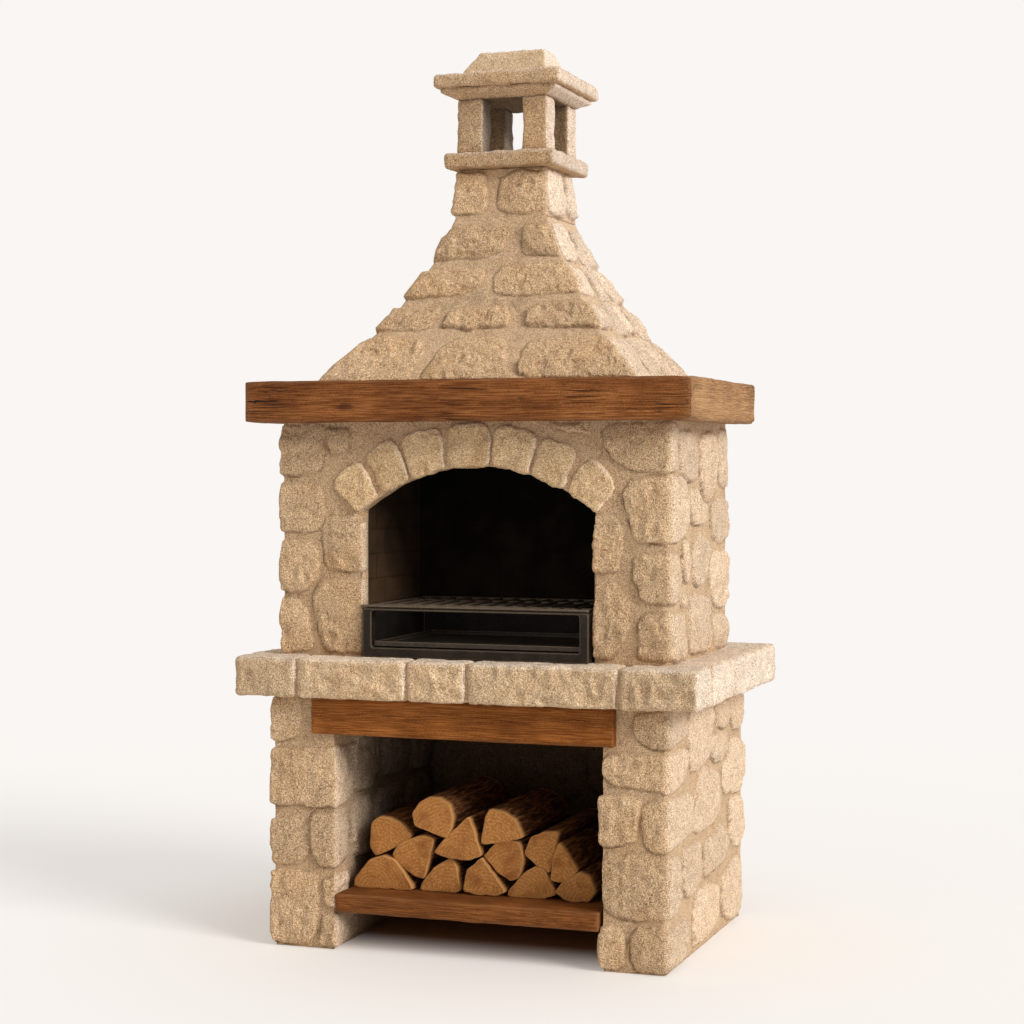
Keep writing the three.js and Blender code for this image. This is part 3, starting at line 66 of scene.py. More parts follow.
scene = bpy.context.scene
print("parts in the frame:", len(frame["nodes"]))

# %% [markdown]
# ## Camera
# The photograph looks slightly down on the barbecue from its right. A long lens from over five metres
# keeps the uprights nearly parallel. The camera is set from where the corners of the piers, the hearth
# and the mantel lie in the picture, which fixes its place, its turn and its lens together.

# %% Camera
camera_place = (1.910, -5.396, 1.252)
camera_turn = math.radians(19.53)
camera_tilt = math.radians(-1.28)
camera_data = bpy.data.cameras.new("camera")
camera_data.lens = 75.3
camera_data.sensor_width = 36
camera = bpy.data.objects.new("camera", camera_data)
camera.location = camera_place
camera.rotation_euler = (math.radians(90) + camera_tilt, 0, camera_turn)
scene.collection.objects.link(camera)
scene.camera = camera
scene.view_settings.view_transform = "Standard"
print("camera lens in mm:", camera_data.lens)

# %% [markdown]
# ## Small helpers for shader nodes
# A material is a graph of nodes. In the helpers below a value is a number, a colour, or a pair of a node
# and one of its outputs, so that a graph reads like a sum. They do nothing that the node editor wouldn't.

# %% Node helpers
def feed(tree, value, node, entry):
    """Sets an input socket, or links it when the value is a (node, output) pair."""
    if isinstance(value, tuple) and len(value) == 2:
        tree.links.new(value[0].outputs[value[1]], node.inputs[entry])
    else:
        node.inputs[entry].default_value = value


def add(tree, kind, values=None, **properties):
    """Adds a node, sets its properties, and then feeds its input sockets by name or number."""
    node = tree.nodes.new("ShaderNode" + kind)
    for name, value in properties.items():
        setattr(node, name, value)
    for name, value in (values or {}).items():
        feed(tree, value, node, name)
    return node


def colour(red, green, blue):
    """An everyday 0 to 255 colour as the linear colour that shaders work in."""
    shares = [channel / 255 for channel in (red, green, blue)]
    linear = [s / 12.92 if s <= 0.04045 else ((s + 0.055) / 1.055) ** 2.4 for s in shares]
    return (*linear, 1.0)


def ramp(tree, value, stops):
    """A colour ramp over a value, from (position, colour) pairs."""
    node = add(tree, "ValToRGB", {"Fac": value})
    while len(node.color_ramp.elements) < len(stops):
        node.color_ramp.elements.new(0.5)
    for element, (position, shade) in zip(node.color_ramp.elements, stops):
        element.position = position
        element.color = shade
    return node, "Color"


def between(tree, value, low, high, smooth=False):
    """A value stretched so that low becomes 0 and high becomes 1."""
    node = add(tree, "MapRange", {"Value": value, "From Min": low, "From Max": high})
    if smooth:
        node.interpolation_type = "SMOOTHSTEP"
    return node, 0


def spread(tree, value, low, high):
    """A 0 to 1 value stretched to run from low to high."""
    return add(tree, "MapRange", {"Value": value, "To Min": low, "To Max": high}), 0


def blend_colours(tree, factor, first, second, mode="MIX"):
    """A colour mix."""
    return add(tree, "Mix", {0: factor, 6: first, 7: second}, data_type="RGBA", blend_type=mode), 2


def reckon(tree, operation, first, second=0):
    """A sum, product or other calculation of two values."""
    return add(tree, "Math", {0: first, 1: second}, operation=operation), 0


def vector_reckon(tree, operation, *values):
    """A calculation of vectors. A length and a dot product are numbers, the others are vectors."""
    node = add(tree, "VectorMath", dict(enumerate(values)), operation=operation)
    return node, ("Value" if operation in ("LENGTH", "DOT_PRODUCT") else "Vector")


def share_of(tree, value, low, high, weight):
    """A value stretched between low and high, times a weight."""
    return reckon(tree, "MULTIPLY", between(tree, value, low, high), weight)


def total(tree, *values):
    """The sum of several values."""
    result = values[0]
    for value in values[1:]:
        result = reckon(tree, "ADD", result, value)
    return result


def noise(tree, place, scale, detail, roughness=0.5, distortion=0.0):
    """Noise over a place."""
    node = add(tree, "TexNoise", {"Vector": place, "Scale": scale, "Detail": detail})
    node.inputs["Roughness"].default_value = roughness
    node.inputs["Distortion"].default_value = distortion
    return node, "Fac"


def own_place(tree):
    """The object's own coordinates."""
    return add(tree, "TexCoord"), "Object"


def vertex_value(tree, name):
    """A number that the mesh keeps for each vertex."""
    return add(tree, "Attribute", attribute_name=name), "Fac"


def new_group(name, inputs, outputs):
    """A shader node group with named sockets, and its input and output nodes."""
    group = bpy.data.node_groups.new(name, "ShaderNodeTree")
    for entry, kind, value in inputs:
        socket = group.interface.new_socket(entry, in_out="INPUT", socket_type="NodeSocket" + kind)
        socket.default_value = value
    for entry, kind in outputs:
        group.interface.new_socket(entry, in_out="OUTPUT", socket_type="NodeSocket" + kind)
    return group, group.nodes.new("NodeGroupInput"), group.nodes.new("NodeGroupOutput")


def new_material(name):
    """A material with an empty graph but for its Principled shader."""
    material = bpy.data.materials.new(name)
    material.use_nodes = True
    tree = material.node_tree
    return material, tree, tree.nodes["Principled BSDF"]


def finish_shader(tree, shader, surface, roughness, gloss, height, strength, distance, normal=None):
    """Feeds a material's shader its colour, its roughness and gloss, and a bump from a height."""
    feed(tree, surface, shader, "Base Color")
    feed(tree, roughness, shader, "Roughness")
    feed(tree, gloss, shader, "Specular IOR Level")
    bump = add(tree, "Bump", {"Strength": strength, "Distance": distance, "Height": height})
    if normal:
        feed(tree, normal, bump, "Normal")
    feed(tree, (bump, 0), shader, "Normal")


print("node helpers are ready")

# %% [markdown]
# ## Studio
# The picture has a warm white studio with no horizon. The world shows the backdrop's colour to the camera
# and to glossy surfaces. Its light is strongest from above and weak from the sides, so that deep places
# such as the log bay turn dark. The floor catches a soft shadow and glows like the backdrop farther out.
# It glows less close to the barbecue, and not at all in the bay under the shelf. There its ground is
# painted brown, a painted shadow, and close to the barbecue a little warmer, a painted warm shade.

# %% Studio
backdrop_colour = colour(250, 246, 243)
fill_colour = (1, 0.957, 0.905, 1)
fill_low = 0.24
fill_high = 0.8
key_colour = (1, 0.99, 0.975)
key_strength = 2.5
key_spread = math.radians(26)
key_from = (0.83, -0.33, 0.45)
floor_reach = 40
floor_sink = 0.001
floor_glow = 0.49
shadow_reach = 1.5
fade_reach = 5.2
close_low = 0.55
close_high = 1.3
close_glow = 0.62
# A warmer ground close to the barbecue is painted warm shade.
close_shaded_ground = colour(252, 248, 243)
open_ground = colour(252, 250, 248)
# The ground's colour in the bay under the shelf is a painted shadow.
bay_painted_shade = colour(205, 166, 124)
bay_front = -0.4
bay_dark = -0.12
bay_half = 0.04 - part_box("left_pier")[1].x
bay_rear = 0.34
bay_soft = 0.03


def studio_world():
    """The world: backdrop colour where it is seen, a fill light that grows upwards elsewhere."""
    world = bpy.data.worlds.new("studio")
    world.use_nodes = True
    tree = world.node_tree
    tree.nodes.clear()
    path = add(tree, "LightPath")
    mirrored = reckon(tree, "MAXIMUM", (path, "Is Glossy Ray"), (path, "Is Transmission Ray"))
    seen = reckon(tree, "MAXIMUM", (path, "Is Camera Ray"), mirrored)
    parts = add(tree, "SeparateXYZ", {0: (add(tree, "TexCoord"), "Generated")})
    strength = spread(tree, (parts, "Z"), fill_low, fill_high)
    fill = add(tree, "Background", {"Color": fill_colour, "Strength": strength})
    backdrop = add(tree, "Background", {"Color": backdrop_colour, "Strength": 1.0})
    mixed = add(tree, "MixShader", {0: seen, 1: (fill, 0), 2: (backdrop, 0)})
    add(tree, "OutputWorld", {"Surface": (mixed, 0)})
    return world


def floor_material():
    """A shader that keeps the shadow, mixed with a glow of the backdrop's colour that grows outwards."""
    material, tree, shader = new_material("studio_floor")
    shader.inputs["Roughness"].default_value = 0.9
    shader.inputs["Specular IOR Level"].default_value = 0.1
    place = own_place(tree)
    parts = add(tree, "SeparateXYZ", {0: place})
    distance = vector_reckon(tree, "LENGTH", place)
    away = between(tree, distance, shadow_reach, fade_reach, smooth=True)
    away[0].inputs["To Min"].default_value = floor_glow
    clear = between(tree, distance, close_low, close_high, smooth=True)
    # The bay mask covers the floor under the shelf, where the ground is painted brown as a painted shadow.
    ahead = between(tree, (parts, "Y"), bay_front, bay_dark, smooth=True)
    beside = between(tree, reckon(tree, "ABSOLUTE", (parts, "X")), bay_half + bay_soft, bay_half)
    behind = between(tree, (parts, "Y"), bay_rear + bay_soft, bay_rear)
    shelf_shade_mask = reckon(tree, "MULTIPLY", reckon(tree, "MULTIPLY", ahead, beside), behind)
    # Close to the barbecue the ground is painted a little warmer: painted warm shade.
    ground = blend_colours(tree, clear, close_shaded_ground, open_ground)
    feed(tree, blend_colours(tree, shelf_shade_mask, ground, bay_painted_shade), shader, "Base Color")
    share = reckon(tree, "MULTIPLY", away, spread(tree, clear, close_glow, 1))
    share = reckon(tree, "MULTIPLY", share, reckon(tree, "SUBTRACT", 1, shelf_shade_mask))
    glow = add(tree, "Emission", {"Color": backdrop_colour, "Strength": 1.0})
    mixed = add(tree, "MixShader", {0: share, 1: (shader, 0), 2: (glow, 0)})
    feed(tree, (mixed, 0), tree.nodes["Material Output"], "Surface")
    return material


def studio_floor():
    """A wide floor, just under the barbecue's feet."""
    mesh = bpy.data.meshes.new("studio_floor")
    square = [(-1, -1), (1, -1), (1, 1), (-1, 1)]
    mesh.from_pydata([(x * floor_reach, y * floor_reach, 0) for x, y in square], [], [(0, 1, 2, 3)])
    mesh.materials.append(floor_material())
    floor = bpy.data.objects.new("studio_floor", mesh)
    floor.location.z = -floor_sink
    scene.collection.objects.link(floor)


def key_lamp():
    """A broad sun from the right, a little in front and above."""
    lamp = bpy.data.lights.new("key", "SUN")
    lamp.energy = key_strength
    lamp.angle = key_spread
    lamp.color = key_colour
    holder = bpy.data.objects.new("key", lamp)
    direction = np.array(key_from)
    holder.rotation_euler = (
        math.acos(direction[2] / np.linalg.norm(direction)),
        0,
        math.atan2(direction[1], direction[0]) + math.radians(90),
    )
    scene.collection.objects.link(holder)


scene.world = studio_world()
studio_floor()
key_lamp()
print("studio is lit")

# %% [markdown]
# ## Noise and grids
# Broken stone has lumps of several sizes at once. Value noise gives one size: a repeatable number at
# each point of a lattice, smoothed between them. Adding a few sizes gives a rock face. Plain numpy does
# this for a whole wall at once, much faster than a call for each vertex.

# %% Noise
ridge_sizes = ((0.034, 0.0092), (0.015, 0.0042))
ridge_level = 0.4


def hashed(cells, seed):
    """A repeatable number from 0 to 1 for each whole-number cell."""
    mixed = cells[..., 0] * 374761393 + cells[..., 1] * 668265263 + cells[..., 2] * 974711 + seed * 7919
    mixed = mixed & 0xFFFFFFFF
    mixed = ((mixed ^ (mixed >> 13)) * 1274126177) & 0xFFFFFFFF
    return ((mixed ^ (mixed >> 16)) & 0xFFFF) / 65535


def lumps(points, size, seed=0):
    """Smooth noise from -1 to 1, with lumps of about the given size in metres."""
    spot = points / size + seed * 3.7
    cell = np.floor(spot).astype(np.int64)
    part = spot - cell
    ease = part * part * (3 - 2 * part)
    total = np.zeros(points.shape[:-1])
    for corner in np.ndindex(2, 2, 2):
        weight = np.ones(points.shape[:-1])
        for axis in range(3):
            weight = weight * (ease[..., axis] if corner[axis] else 1 - ease[..., axis])
        total += weight * hashed(cell + np.array(corner), seed)
    return total * 2 - 1


def layers(points, *sizes):
    """A sum of noises, each given as its size, its height and its seed."""
    return sum(lumps(points, size, seed) * height for size, height, seed in sizes)


def rock(points, seed=0):
    """Rock face in metres: swells, chipped ridges of two sizes and coarse grain."""
    height = layers(points, (0.06, 0.0036, seed))
    for place, (size, rise) in enumerate(ridge_sizes):
        height += (ridge_level - np.abs(lumps(points, size, seed + 1 + place))) * rise
    return height + layers(points, (0.0072, 0.0008, seed + 3))


print("noise sample:", lumps(np.zeros((1, 3)), 0.05).round(3))

# %% Meshes from grids
def new_piece(name, points, faces, materials, body="masonry"):
    """A smooth mesh object that rides on a body."""
    mesh = bpy.data.meshes.new(name)
    mesh.from_pydata(points.tolist(), [], faces)
    mesh.shade_smooth()
    for material in materials:
        mesh.materials.append(material)
    piece = bpy.data.objects.new(name, mesh)
    scene.collection.objects.link(piece)
    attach(piece, body)
    return piece


def write_value(piece, name, values):
    """Keeps one number for each vertex, which a material reads by its name."""
    layer = piece.data.attributes.new(name, "FLOAT", "POINT")
    layer.data.foreach_set("value", np.asarray(values, dtype=np.float32).ravel())


def ring_faces(rows, columns, close_rows=False):
    """Quads of a grid whose columns close into a ring, listed counterclockwise from outside."""
    faces = []
    last = rows if close_rows else rows - 1
    for row in range(last):
        low = row * columns
        high = ((row + 1) % rows) * columns
        for column in range(columns):
            beside = (column + 1) % columns
            faces.append((low + column, low + beside, high + beside, high + column))
    return faces


def ring_caps(rows, columns):
    """One face under a closed ring grid and one over it."""
    under = tuple(range(columns - 1, -1, -1))
    over = tuple(range((rows - 1) * columns, rows * columns))
    return [under, over]


print("mesh helpers are ready")

# %% [markdown]
# ## Rubble walls
# Each wall is one skin: the mortar lies a centimetre back, and every stone rises from it with a rounded
# shoulder and a rock face of its own. Separate stones pushed into a slab would need a clean edge each,
# while one skin carries stones round a corner as a mason does. The wall is unrolled, so that a place on
# it is (u, rise): u counts the wall's faces, so 1.24 is 24% along the second face, and rise goes 0 to 1.

# %% Unrolled walls
corner_round = 0.009
worn_round = 0.024


def plan_sheet(corners, low, high, cells, row_cell, columns=(), levels=(), worn_corner=None):
    """The skin of an upright wall round a plan, whose corners turn at right angles.

    columns and levels are extra places for grid lines, as u and as rise. worn_corner is rounder.
    """
    corners = np.array(corners, float)
    sides = np.roll(corners, -1, axis=0) - corners
    lengths = np.hypot(sides[:, 0], sides[:, 1])
    ways = sides / lengths[:, None]
    outs = np.stack([ways[:, 1], -ways[:, 0]], axis=1)
    faces = len(corners)
    u = np.concatenate([
        face + np.arange(steps) / steps
        for face, steps in enumerate(np.ceil(lengths / np.array(cells)).astype(int))
    ])
    u = np.sort(np.concatenate([u, columns]))
    side = np.floor(u).astype(int)
    walked = (u - side) * lengths[side]
    left = lengths[side] - walked
    places = corners[side] + ways[side] * walked[:, None]
    normals = outs[side].copy()
    rounds = np.full(faces, corner_round)
    if worn_corner is not None:
        rounds[worn_corner] = worn_round
    following = (side + 1) % faces
    for column in np.flatnonzero((walked < rounds[side]) | (left < rounds[following])):
        starting = walked[column] < rounds[side[column]]
        after = side[column] if starting else following[column]
        before = (after - 1) % faces
        radius = rounds[after]
        reach = walked[column] + radius if starting else radius - left[column]
        angle = reach / (2 * radius) * math.pi / 2
        normal = outs[before] * math.cos(angle) + outs[after] * math.sin(angle)
        bend = np.sign(ways[before][0] * ways[after][1] - ways[before][1] * ways[after][0])
        centre = corners[after] - (outs[before] + outs[after]) * radius * bend
        places[column] = centre + normal * radius * bend
        normals[column] = normal
    rise = np.linspace(0, 1, int(np.ceil((high - low) / row_cell)) + 1)
    rise = np.sort(np.concatenate([rise, levels]))
    spot = np.zeros((len(rise), len(u), 3))
    spot[..., :2] = places
    spot[..., 2] = (low + rise * (high - low))[:, None]
    out = np.zeros_like(spot)
    out[..., :2] = normals
    starts = np.concatenate([[0], np.cumsum(lengths)])

    def measure(across, up, middle):
        walk = np.interp(across, np.arange(faces + 1), starts)
        return walk - np.interp(middle, np.arange(faces + 1), starts), up * (high - low)

    grid_u, grid_rise = np.meshgrid(u, rise)
    sheet = {"u": grid_u, "rise": grid_rise, "spot": spot, "out": out, "measure": measure}
    sheet["starts"] = starts
    return sheet


def rounded_outline(outline, rounds=2, keep=0.87):
    """Cuts an outline's corners twice over, which turns a few points into a worn edge."""
    for _ in range(rounds):
        after = np.roll(outline, -1, axis=0)
        near = outline * keep + after * (1 - keep)
        far = outline * (1 - keep) + after * keep
        outline = np.stack([near, far], axis=1).reshape(-1, 2)
    return outline


def depth_inside(outline, across, up):
    """The distance to a closed outline, above 0 inside it."""
    nearest = np.full(across.shape, np.inf)
    inside = np.zeros(across.shape, bool)
    for (ax, az), (bx, bz) in zip(outline, np.roll(outline, -1, axis=0)):
        ex, ez = bx - ax, bz - az
        share = np.clip(((across - ax) * ex + (up - az) * ez) / (ex * ex + ez * ez), 0, 1)
        nearest = np.minimum(nearest, np.hypot(across - ax - share * ex, up - az - share * ez))
        crosses = (az > up) != (bz > up)
        slant = ex / ez if ez else 0.0
        inside ^= crosses & (across < ax + (up - az) * slant)
    return np.where(inside, nearest, -nearest)


print("walls unroll over", corner_round, "m corners")

# %% [markdown]
# ## One stone
# A stone's height over the mortar climbs steeply at its edge and then runs nearly flat, with rock noise,
# a slight tilt and a few hewn planes that cut its shoulders. Noise shifts the outline a few millimetres,
# so no edge is a ruled line. The numbers of a stone come from its own seed, its outline and its place in
# space, so two skins that show parts of the same stone meet at the same height.

# %% Stones on a wall
mortar_depth = 0.0095
mortar_noise = ((0.028, 0.0011, 5), (0.011, 0.0007, 6))
drift_across = ((0.045, 0.0036, 21), (0.018, 0.003, 22), (0.009, 0.0013, 25))
drift_up = ((0.045, 0.0036, 23), (0.018, 0.003, 24), (0.009, 0.0013, 26))
drift_room = 0.02
shoulder = 0.0095
edge_step = 0.0022
step_share = 0.42
face_middle = 0.0006
face_dome = 0.0008
face_tilt = 0.0016
hewn_rise = 0.0012
face_top = 0.0035
face_bottom_share = 0.7
sunny_growth = 0.0015
left_growth = 0.0042
groove_depth = 0.0014
groove_reach = 0.008
meeting_depth = 0.0042
meeting_width = 0.0034
edge_shadow_width = 0.0024
edge_shadow_offset = 0.0006
meeting_ease = 0.002
bulge_ease = 0.004
edge_blur = 0.0016
meeting_shade = 0.75
sun_gain = 1.6
sun_start = 0.5
bay_shade_reach = 0.4
corner_slant = 0.6
nowhere = -1.0
skin_values = ("stone", "tint", "crack", "bleach", "soot")


def hewn_face(x, z, points, seed):
    """Height of a stone's face in metres. x and z run from -1 to 1 across the stone."""
    dice = np.random.default_rng(seed)
    tilt = dice.uniform(-face_tilt, face_tilt, 2)
    face = face_middle - face_dome * (x * x + z * z) + tilt @ np.stack([x, z])
    face = face + rock(points + seed * 0.37, seed % 97)
    for _ in range(dice.integers(3, 7)):
        angle = dice.uniform(0, 2 * math.pi)
        edge = x * math.cos(angle) + z * math.sin(angle)
        plane = hewn_rise - (edge - dice.uniform(0.3, 0.8)) * dice.uniform(0.006, 0.02)
        face = np.minimum(face, plane + rock(points, seed % 89 + 7) * 0.5)
    return face


def shoulder_profile(depth, points, seed):
    """How far a stone has risen at a depth inside its outline: a steep step, then a round shoulder."""
    wide = shoulder * (1 + 0.7 * lumps(points, 0.05, seed % 83))
    share = np.clip(depth / wide, 0, 1)
    step = np.clip(depth / edge_step, 0, 1)
    return step * step_share + np.sqrt(np.clip(1 - (1 - share) ** 2, 0, 1)) * (1 - step_share)


def edge_shadow_sides(x, z, points, seed):
    """How dark the painted shadow line round a stone is: most at its lower left, broken here and there."""
    return np.clip(0.5 - 0.42 * x - 0.5 * z, 0.12, 1) * (0.6 + 0.8 * lumps(points, 0.026, seed % 79))


def facing_sun(out):
    """How far a surface faces the sun, from its outward direction. It is clipped to 0 and 1 where used."""
    return out[..., 0] * sun_gain - sun_start


def put_in(layer, window, where, values):
    """Changes a layer inside a window, where the window's own mask says so."""
    part = layer[window]
    part[where] = values[where]
    layer[window] = part


def own_seeds(seed, stones):
    """A seed for each stone of a wall."""
    return [seed * 100 + number for number in range(len(stones))]


def lay_stones(sheet, stones, seed, relief=mortar_depth, seeds=None, left_bulge=left_growth, roughness=1.0):
    """Heights of a wall's skin, and the values that its material reads."""
    spot = sheet["spot"]
    height = layers(spot, *mortar_noise) - relief
    deepest = np.full(height.shape, nowhere)
    second = np.full(height.shape, nowhere)
    tint = np.full(height.shape, 0.5)
    line = np.full(height.shape, 0.3)
    sunny = np.clip(sheet["out"][..., 0], 0, 1)
    aside = layers(spot, *drift_across)
    upward = layers(spot, *drift_up)
    for own_seed, stone in zip(seeds or own_seeds(seed, stones), stones):
        stone = np.array(stone)
        middle = stone[:, 0].mean()
        across, up = sheet["measure"](sheet["u"], sheet["rise"], middle)
        edge_across, edge_up = sheet["measure"](stone[:, 0], stone[:, 1], middle)
        outline = rounded_outline(np.stack([edge_across, edge_up], axis=1))
        low = outline.min(axis=0)
        high = outline.max(axis=0)
        near = (across > low[0] - drift_room) & (across < high[0] + drift_room)
        near &= (up > low[1] - drift_room) & (up < high[1] + drift_room)
        if not near.any():
            continue
        points = spot[near]
        x = across[near] + aside[near]
        z = up[near] + upward[near]
        depth = depth_inside(outline, x, z) + sunny[near] * sunny_growth
        x = (x - (low[0] + high[0]) / 2) / (high[0] - low[0]) * 2
        z = (z - (low[1] + high[1]) / 2) / (high[1] - low[1]) * 2
        face = np.clip(hewn_face(x, z, points, own_seed) * roughness, -face_bottom_share * relief, face_top)
        risen = -relief + (face + relief) * shoulder_profile(depth, points, own_seed)
        shade = np.full(depth.shape, np.random.default_rng(own_seed).uniform(0, 1))
        here = depth > 0
        closer = depth > deepest[near]
        second[near] = np.maximum(second[near], np.minimum(depth, deepest[near]))
        put_in(height, near, here, np.maximum(height[near], risen))
        put_in(tint, near, here, shade)
        # The line round each stone is a painted shadow, darkest at its lower left.
        put_in(line, near, closer, edge_shadow_sides(x, z, points, own_seed))
        put_in(deepest, near, closer, depth)
    beside = np.clip(1 + deepest / groove_reach, 0, 1)
    height = np.where(deepest < 0, height - groove_depth * beside**2, height)
    # Where two stones meet, the crease is carved in and also painted dark as painted shade.
    meeting = np.exp(-(((deepest - second) / meeting_width) ** 2)) * np.clip(1 + second / meeting_ease, 0, 1)
    height = height - meeting_depth * meeting
    height += left_bulge * np.clip(-sheet["out"][..., 0], 0, 1) * np.clip(deepest / bulge_ease, 0, 1)
    # A painted shadow line runs along each stone's edge, strongest at its lower left, away from the key lamp.
    crack = np.exp(-((deepest + edge_shadow_offset) / edge_shadow_width) ** 2) * np.clip(line, 0, 1)
    return {
        "height": height,
        "stone": np.clip(deepest / edge_blur + 0.5, 0, 1),
        "tint": tint,
        "crack": np.maximum(crack, meeting * meeting_shade),
        # Faces towards the key lamp are painted paler and greyer: painted light.
        "bleach": np.clip(facing_sun(sheet["out"]), 0, 1),
        "soot": np.zeros(height.shape),
    }


def press_in(sheet, skin, u_from, u_to, rise_from, rise_to, level):
    """Holds part of a wall's skin back to a level, where another part seats in it."""
    inside = (sheet["u"] >= u_from) & (sheet["u"] <= u_to)
    inside &= (sheet["rise"] >= rise_from) & (sheet["rise"] <= rise_to)
    skin["height"] = np.where(inside, np.minimum(skin["height"], level), skin["height"])


def wear_foot(sheet, skin, depth=0.006, reach=0.014):
    """Draws a wall's foot in where it meets the ground."""
    level = sheet["spot"][..., 2] - sheet["spot"][..., 2].min()
    skin["height"] = skin["height"] - depth * np.exp(-((level / reach) ** 2))


def fill_face(sheet, skin, u_from, u_to, level):
    """Brings the mortar of a face forward to a level."""
    inside = (sheet["u"] > u_from) & (sheet["u"] < u_to)
    skin["height"] = np.where(inside, np.clip(skin["height"], level, 0), skin["height"])


def darken_inside(sheet, skin, front, way):
    """Painted shade on a log bay's inner face, growing from the place u = front in the given way."""
    skin["soot"] = np.clip((sheet["u"] - front) * way / bay_shade_reach, 0, 1)


def wall_piece(name, sheet, skin, material, nodes, inner=None):
    """The wall's mesh. With an inner wall it is a hollow ring, otherwise it is closed by two caps."""
    spot = sheet["spot"] + sheet["out"] * skin["height"][..., None]
    rows, columns = spot.shape[:2]
    values = {key: skin[key] for key in skin_values}
    if inner is None:
        faces = ring_faces(rows, columns) + ring_caps(rows, columns)
    else:
        spot = np.concatenate([spot, inner[::-1]])
        extra = len(inner)
        faces = ring_faces(rows + extra, columns, close_rows=True)
        for key in values:
            values[key] = np.concatenate([values[key], np.zeros((extra, columns))])
    piece = new_piece(name, spot.reshape(-1, 3), faces, [material])
    for key, value in values.items():
        write_value(piece, key, value)
    if nodes:
        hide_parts(*nodes)
    return piece


def rubble(left, right, low, high, seed):
    """A rubble stone in the space of a rectangle: cut corners and sides that bow a little."""
    dice = np.random.default_rng(seed)
    cut = dice.uniform(0.08, 0.34, 4)
    bow = dice.uniform(-0.02, 0.05, 4)
    wide = right - left
    tall = high - low
    return [
        (left + wide * cut[0] * corner_slant, low),
        ((left + right) / 2, low - tall * bow[0]),
        (right - wide * cut[1] * corner_slant, low),
        (right, low + tall * cut[1]),
        (right + wide * bow[1], (low + high) / 2),
        (right, high - tall * cut[2]),
        (right - wide * cut[2] * corner_slant, high),
        ((left + right) / 2, high + tall * bow[2]),
        (left + wide * cut[3] * corner_slant, high),
        (left, high - tall * cut[3]),
        (left - wide * bow[3], (low + high) / 2),
        (left, low + tall * cut[0]),
    ]


def rubble_face(face, rows, seed):
    """Rubble stones on one face, from [left, right, bottom, top] shares of it."""
    return [
        rubble(face + left, face + right, low, high, seed * 50 + place)
        for place, (left, right, low, high) in enumerate(rows)
    ]


print("stones rise", mortar_depth, "m from the mortar")

# %% [markdown]
# ## Stone and mortar material
# The stone is a beige sandstone with coarse, high-contrast grains of two to four millimetres, broad warm
# stains, and blocks that differ a little in tone. The grain is a node group, because the mortar, the
# hearth and the cap use it too, each with colours of its own. A thin painted shadow runs along the lower
# and left edges of the stones and in the creases where stones meet. The faces towards the key lamp are
# painted paler and greyer, painted light, and the inner faces of the log bay are darkened, painted shade.
# Vertex values on each wall say where the stone, its tint and each painted mark belong.

# %% Stone grain group
def stone_grain_group():
    """Sandstone colour and height from grains, pits, chips and stains."""
    group, entry, exit_ = new_group(
        "stone_grain",
        [
            ("Pale", "Color", colour(250, 216, 174)),
            ("Dark", "Color", colour(112, 82, 52)),
            ("Warm", "Color", colour(205, 156, 104)),
            ("Warmth", "Float", 0.4),
        ],
        [("Color", "Color"), ("Height", "Float")],
    )
    place = own_place(group)
    fine = share_of(group, noise(group, place, 400, 1.5, 0.6), 0.4, 0.6, 0.64)
    coarse = share_of(group, noise(group, place, 150, 2, 0.6), 0.33, 0.67, 0.18)
    broad = share_of(group, noise(group, place, 26, 3, 0.6), 0.3, 0.7, 0.18)
    raised = share_of(group, noise(group, place, 62, 2.5, 0.6), 0.3, 0.7, 1.9)
    stained = share_of(group, noise(group, place, 8, 4, 0.6, 0.4), 0.48, 0.72, (entry, "Warmth"))
    base = blend_colours(group, total(group, fine, coarse, broad), (entry, "Dark"), (entry, "Pale"))
    warmed = blend_colours(group, stained, base, (entry, "Warm"), "MULTIPLY")
    feed(group, warmed, exit_, "Color")
    height = total(group, fine, reckon(group, "MULTIPLY", coarse, 4.6), raised)
    feed(group, height, exit_, "Height")
    return group


stone_grain = stone_grain_group()
stone_pale = colour(250, 220, 182)
stone_dark = colour(126, 91, 59)
stone_warm = colour(248, 226, 196)
stone_roughness = 0.94
stone_gloss = 0.18
grain_height = 0.0016


def grains(tree, pale, dark, warmth=0.4):
    """The grain group with colours of its own."""
    values = {"Pale": pale, "Dark": dark, "Warm": stone_warm, "Warmth": warmth}
    return add(tree, "Group", values, node_tree=stone_grain)


def stone_tone(tree, grain, painted_light_share):
    """A stone's colour with its own tint, and painted light: paler and greyer towards the key lamp."""
    tint = spread(tree, vertex_value(tree, "tint"), 0.9, 1.1)
    bleach = vertex_value(tree, "bleach")
    node = add(tree, "HueSaturation", {
        "Value": reckon(tree, "MULTIPLY", tint, spread(tree, bleach, 1, 1 + painted_light_share)),
        "Saturation": spread(tree, bleach, 1, 1 - painted_light_share * 1.3),
        "Color": (grain, "Color"),
    })
    return node, 0


mortar_pale = colour(229, 199, 164)
mortar_dark = colour(130, 101, 72)
edge_shadow_share = 0.85
painted_shade_share = 0.66
mortar_bump = 0.45


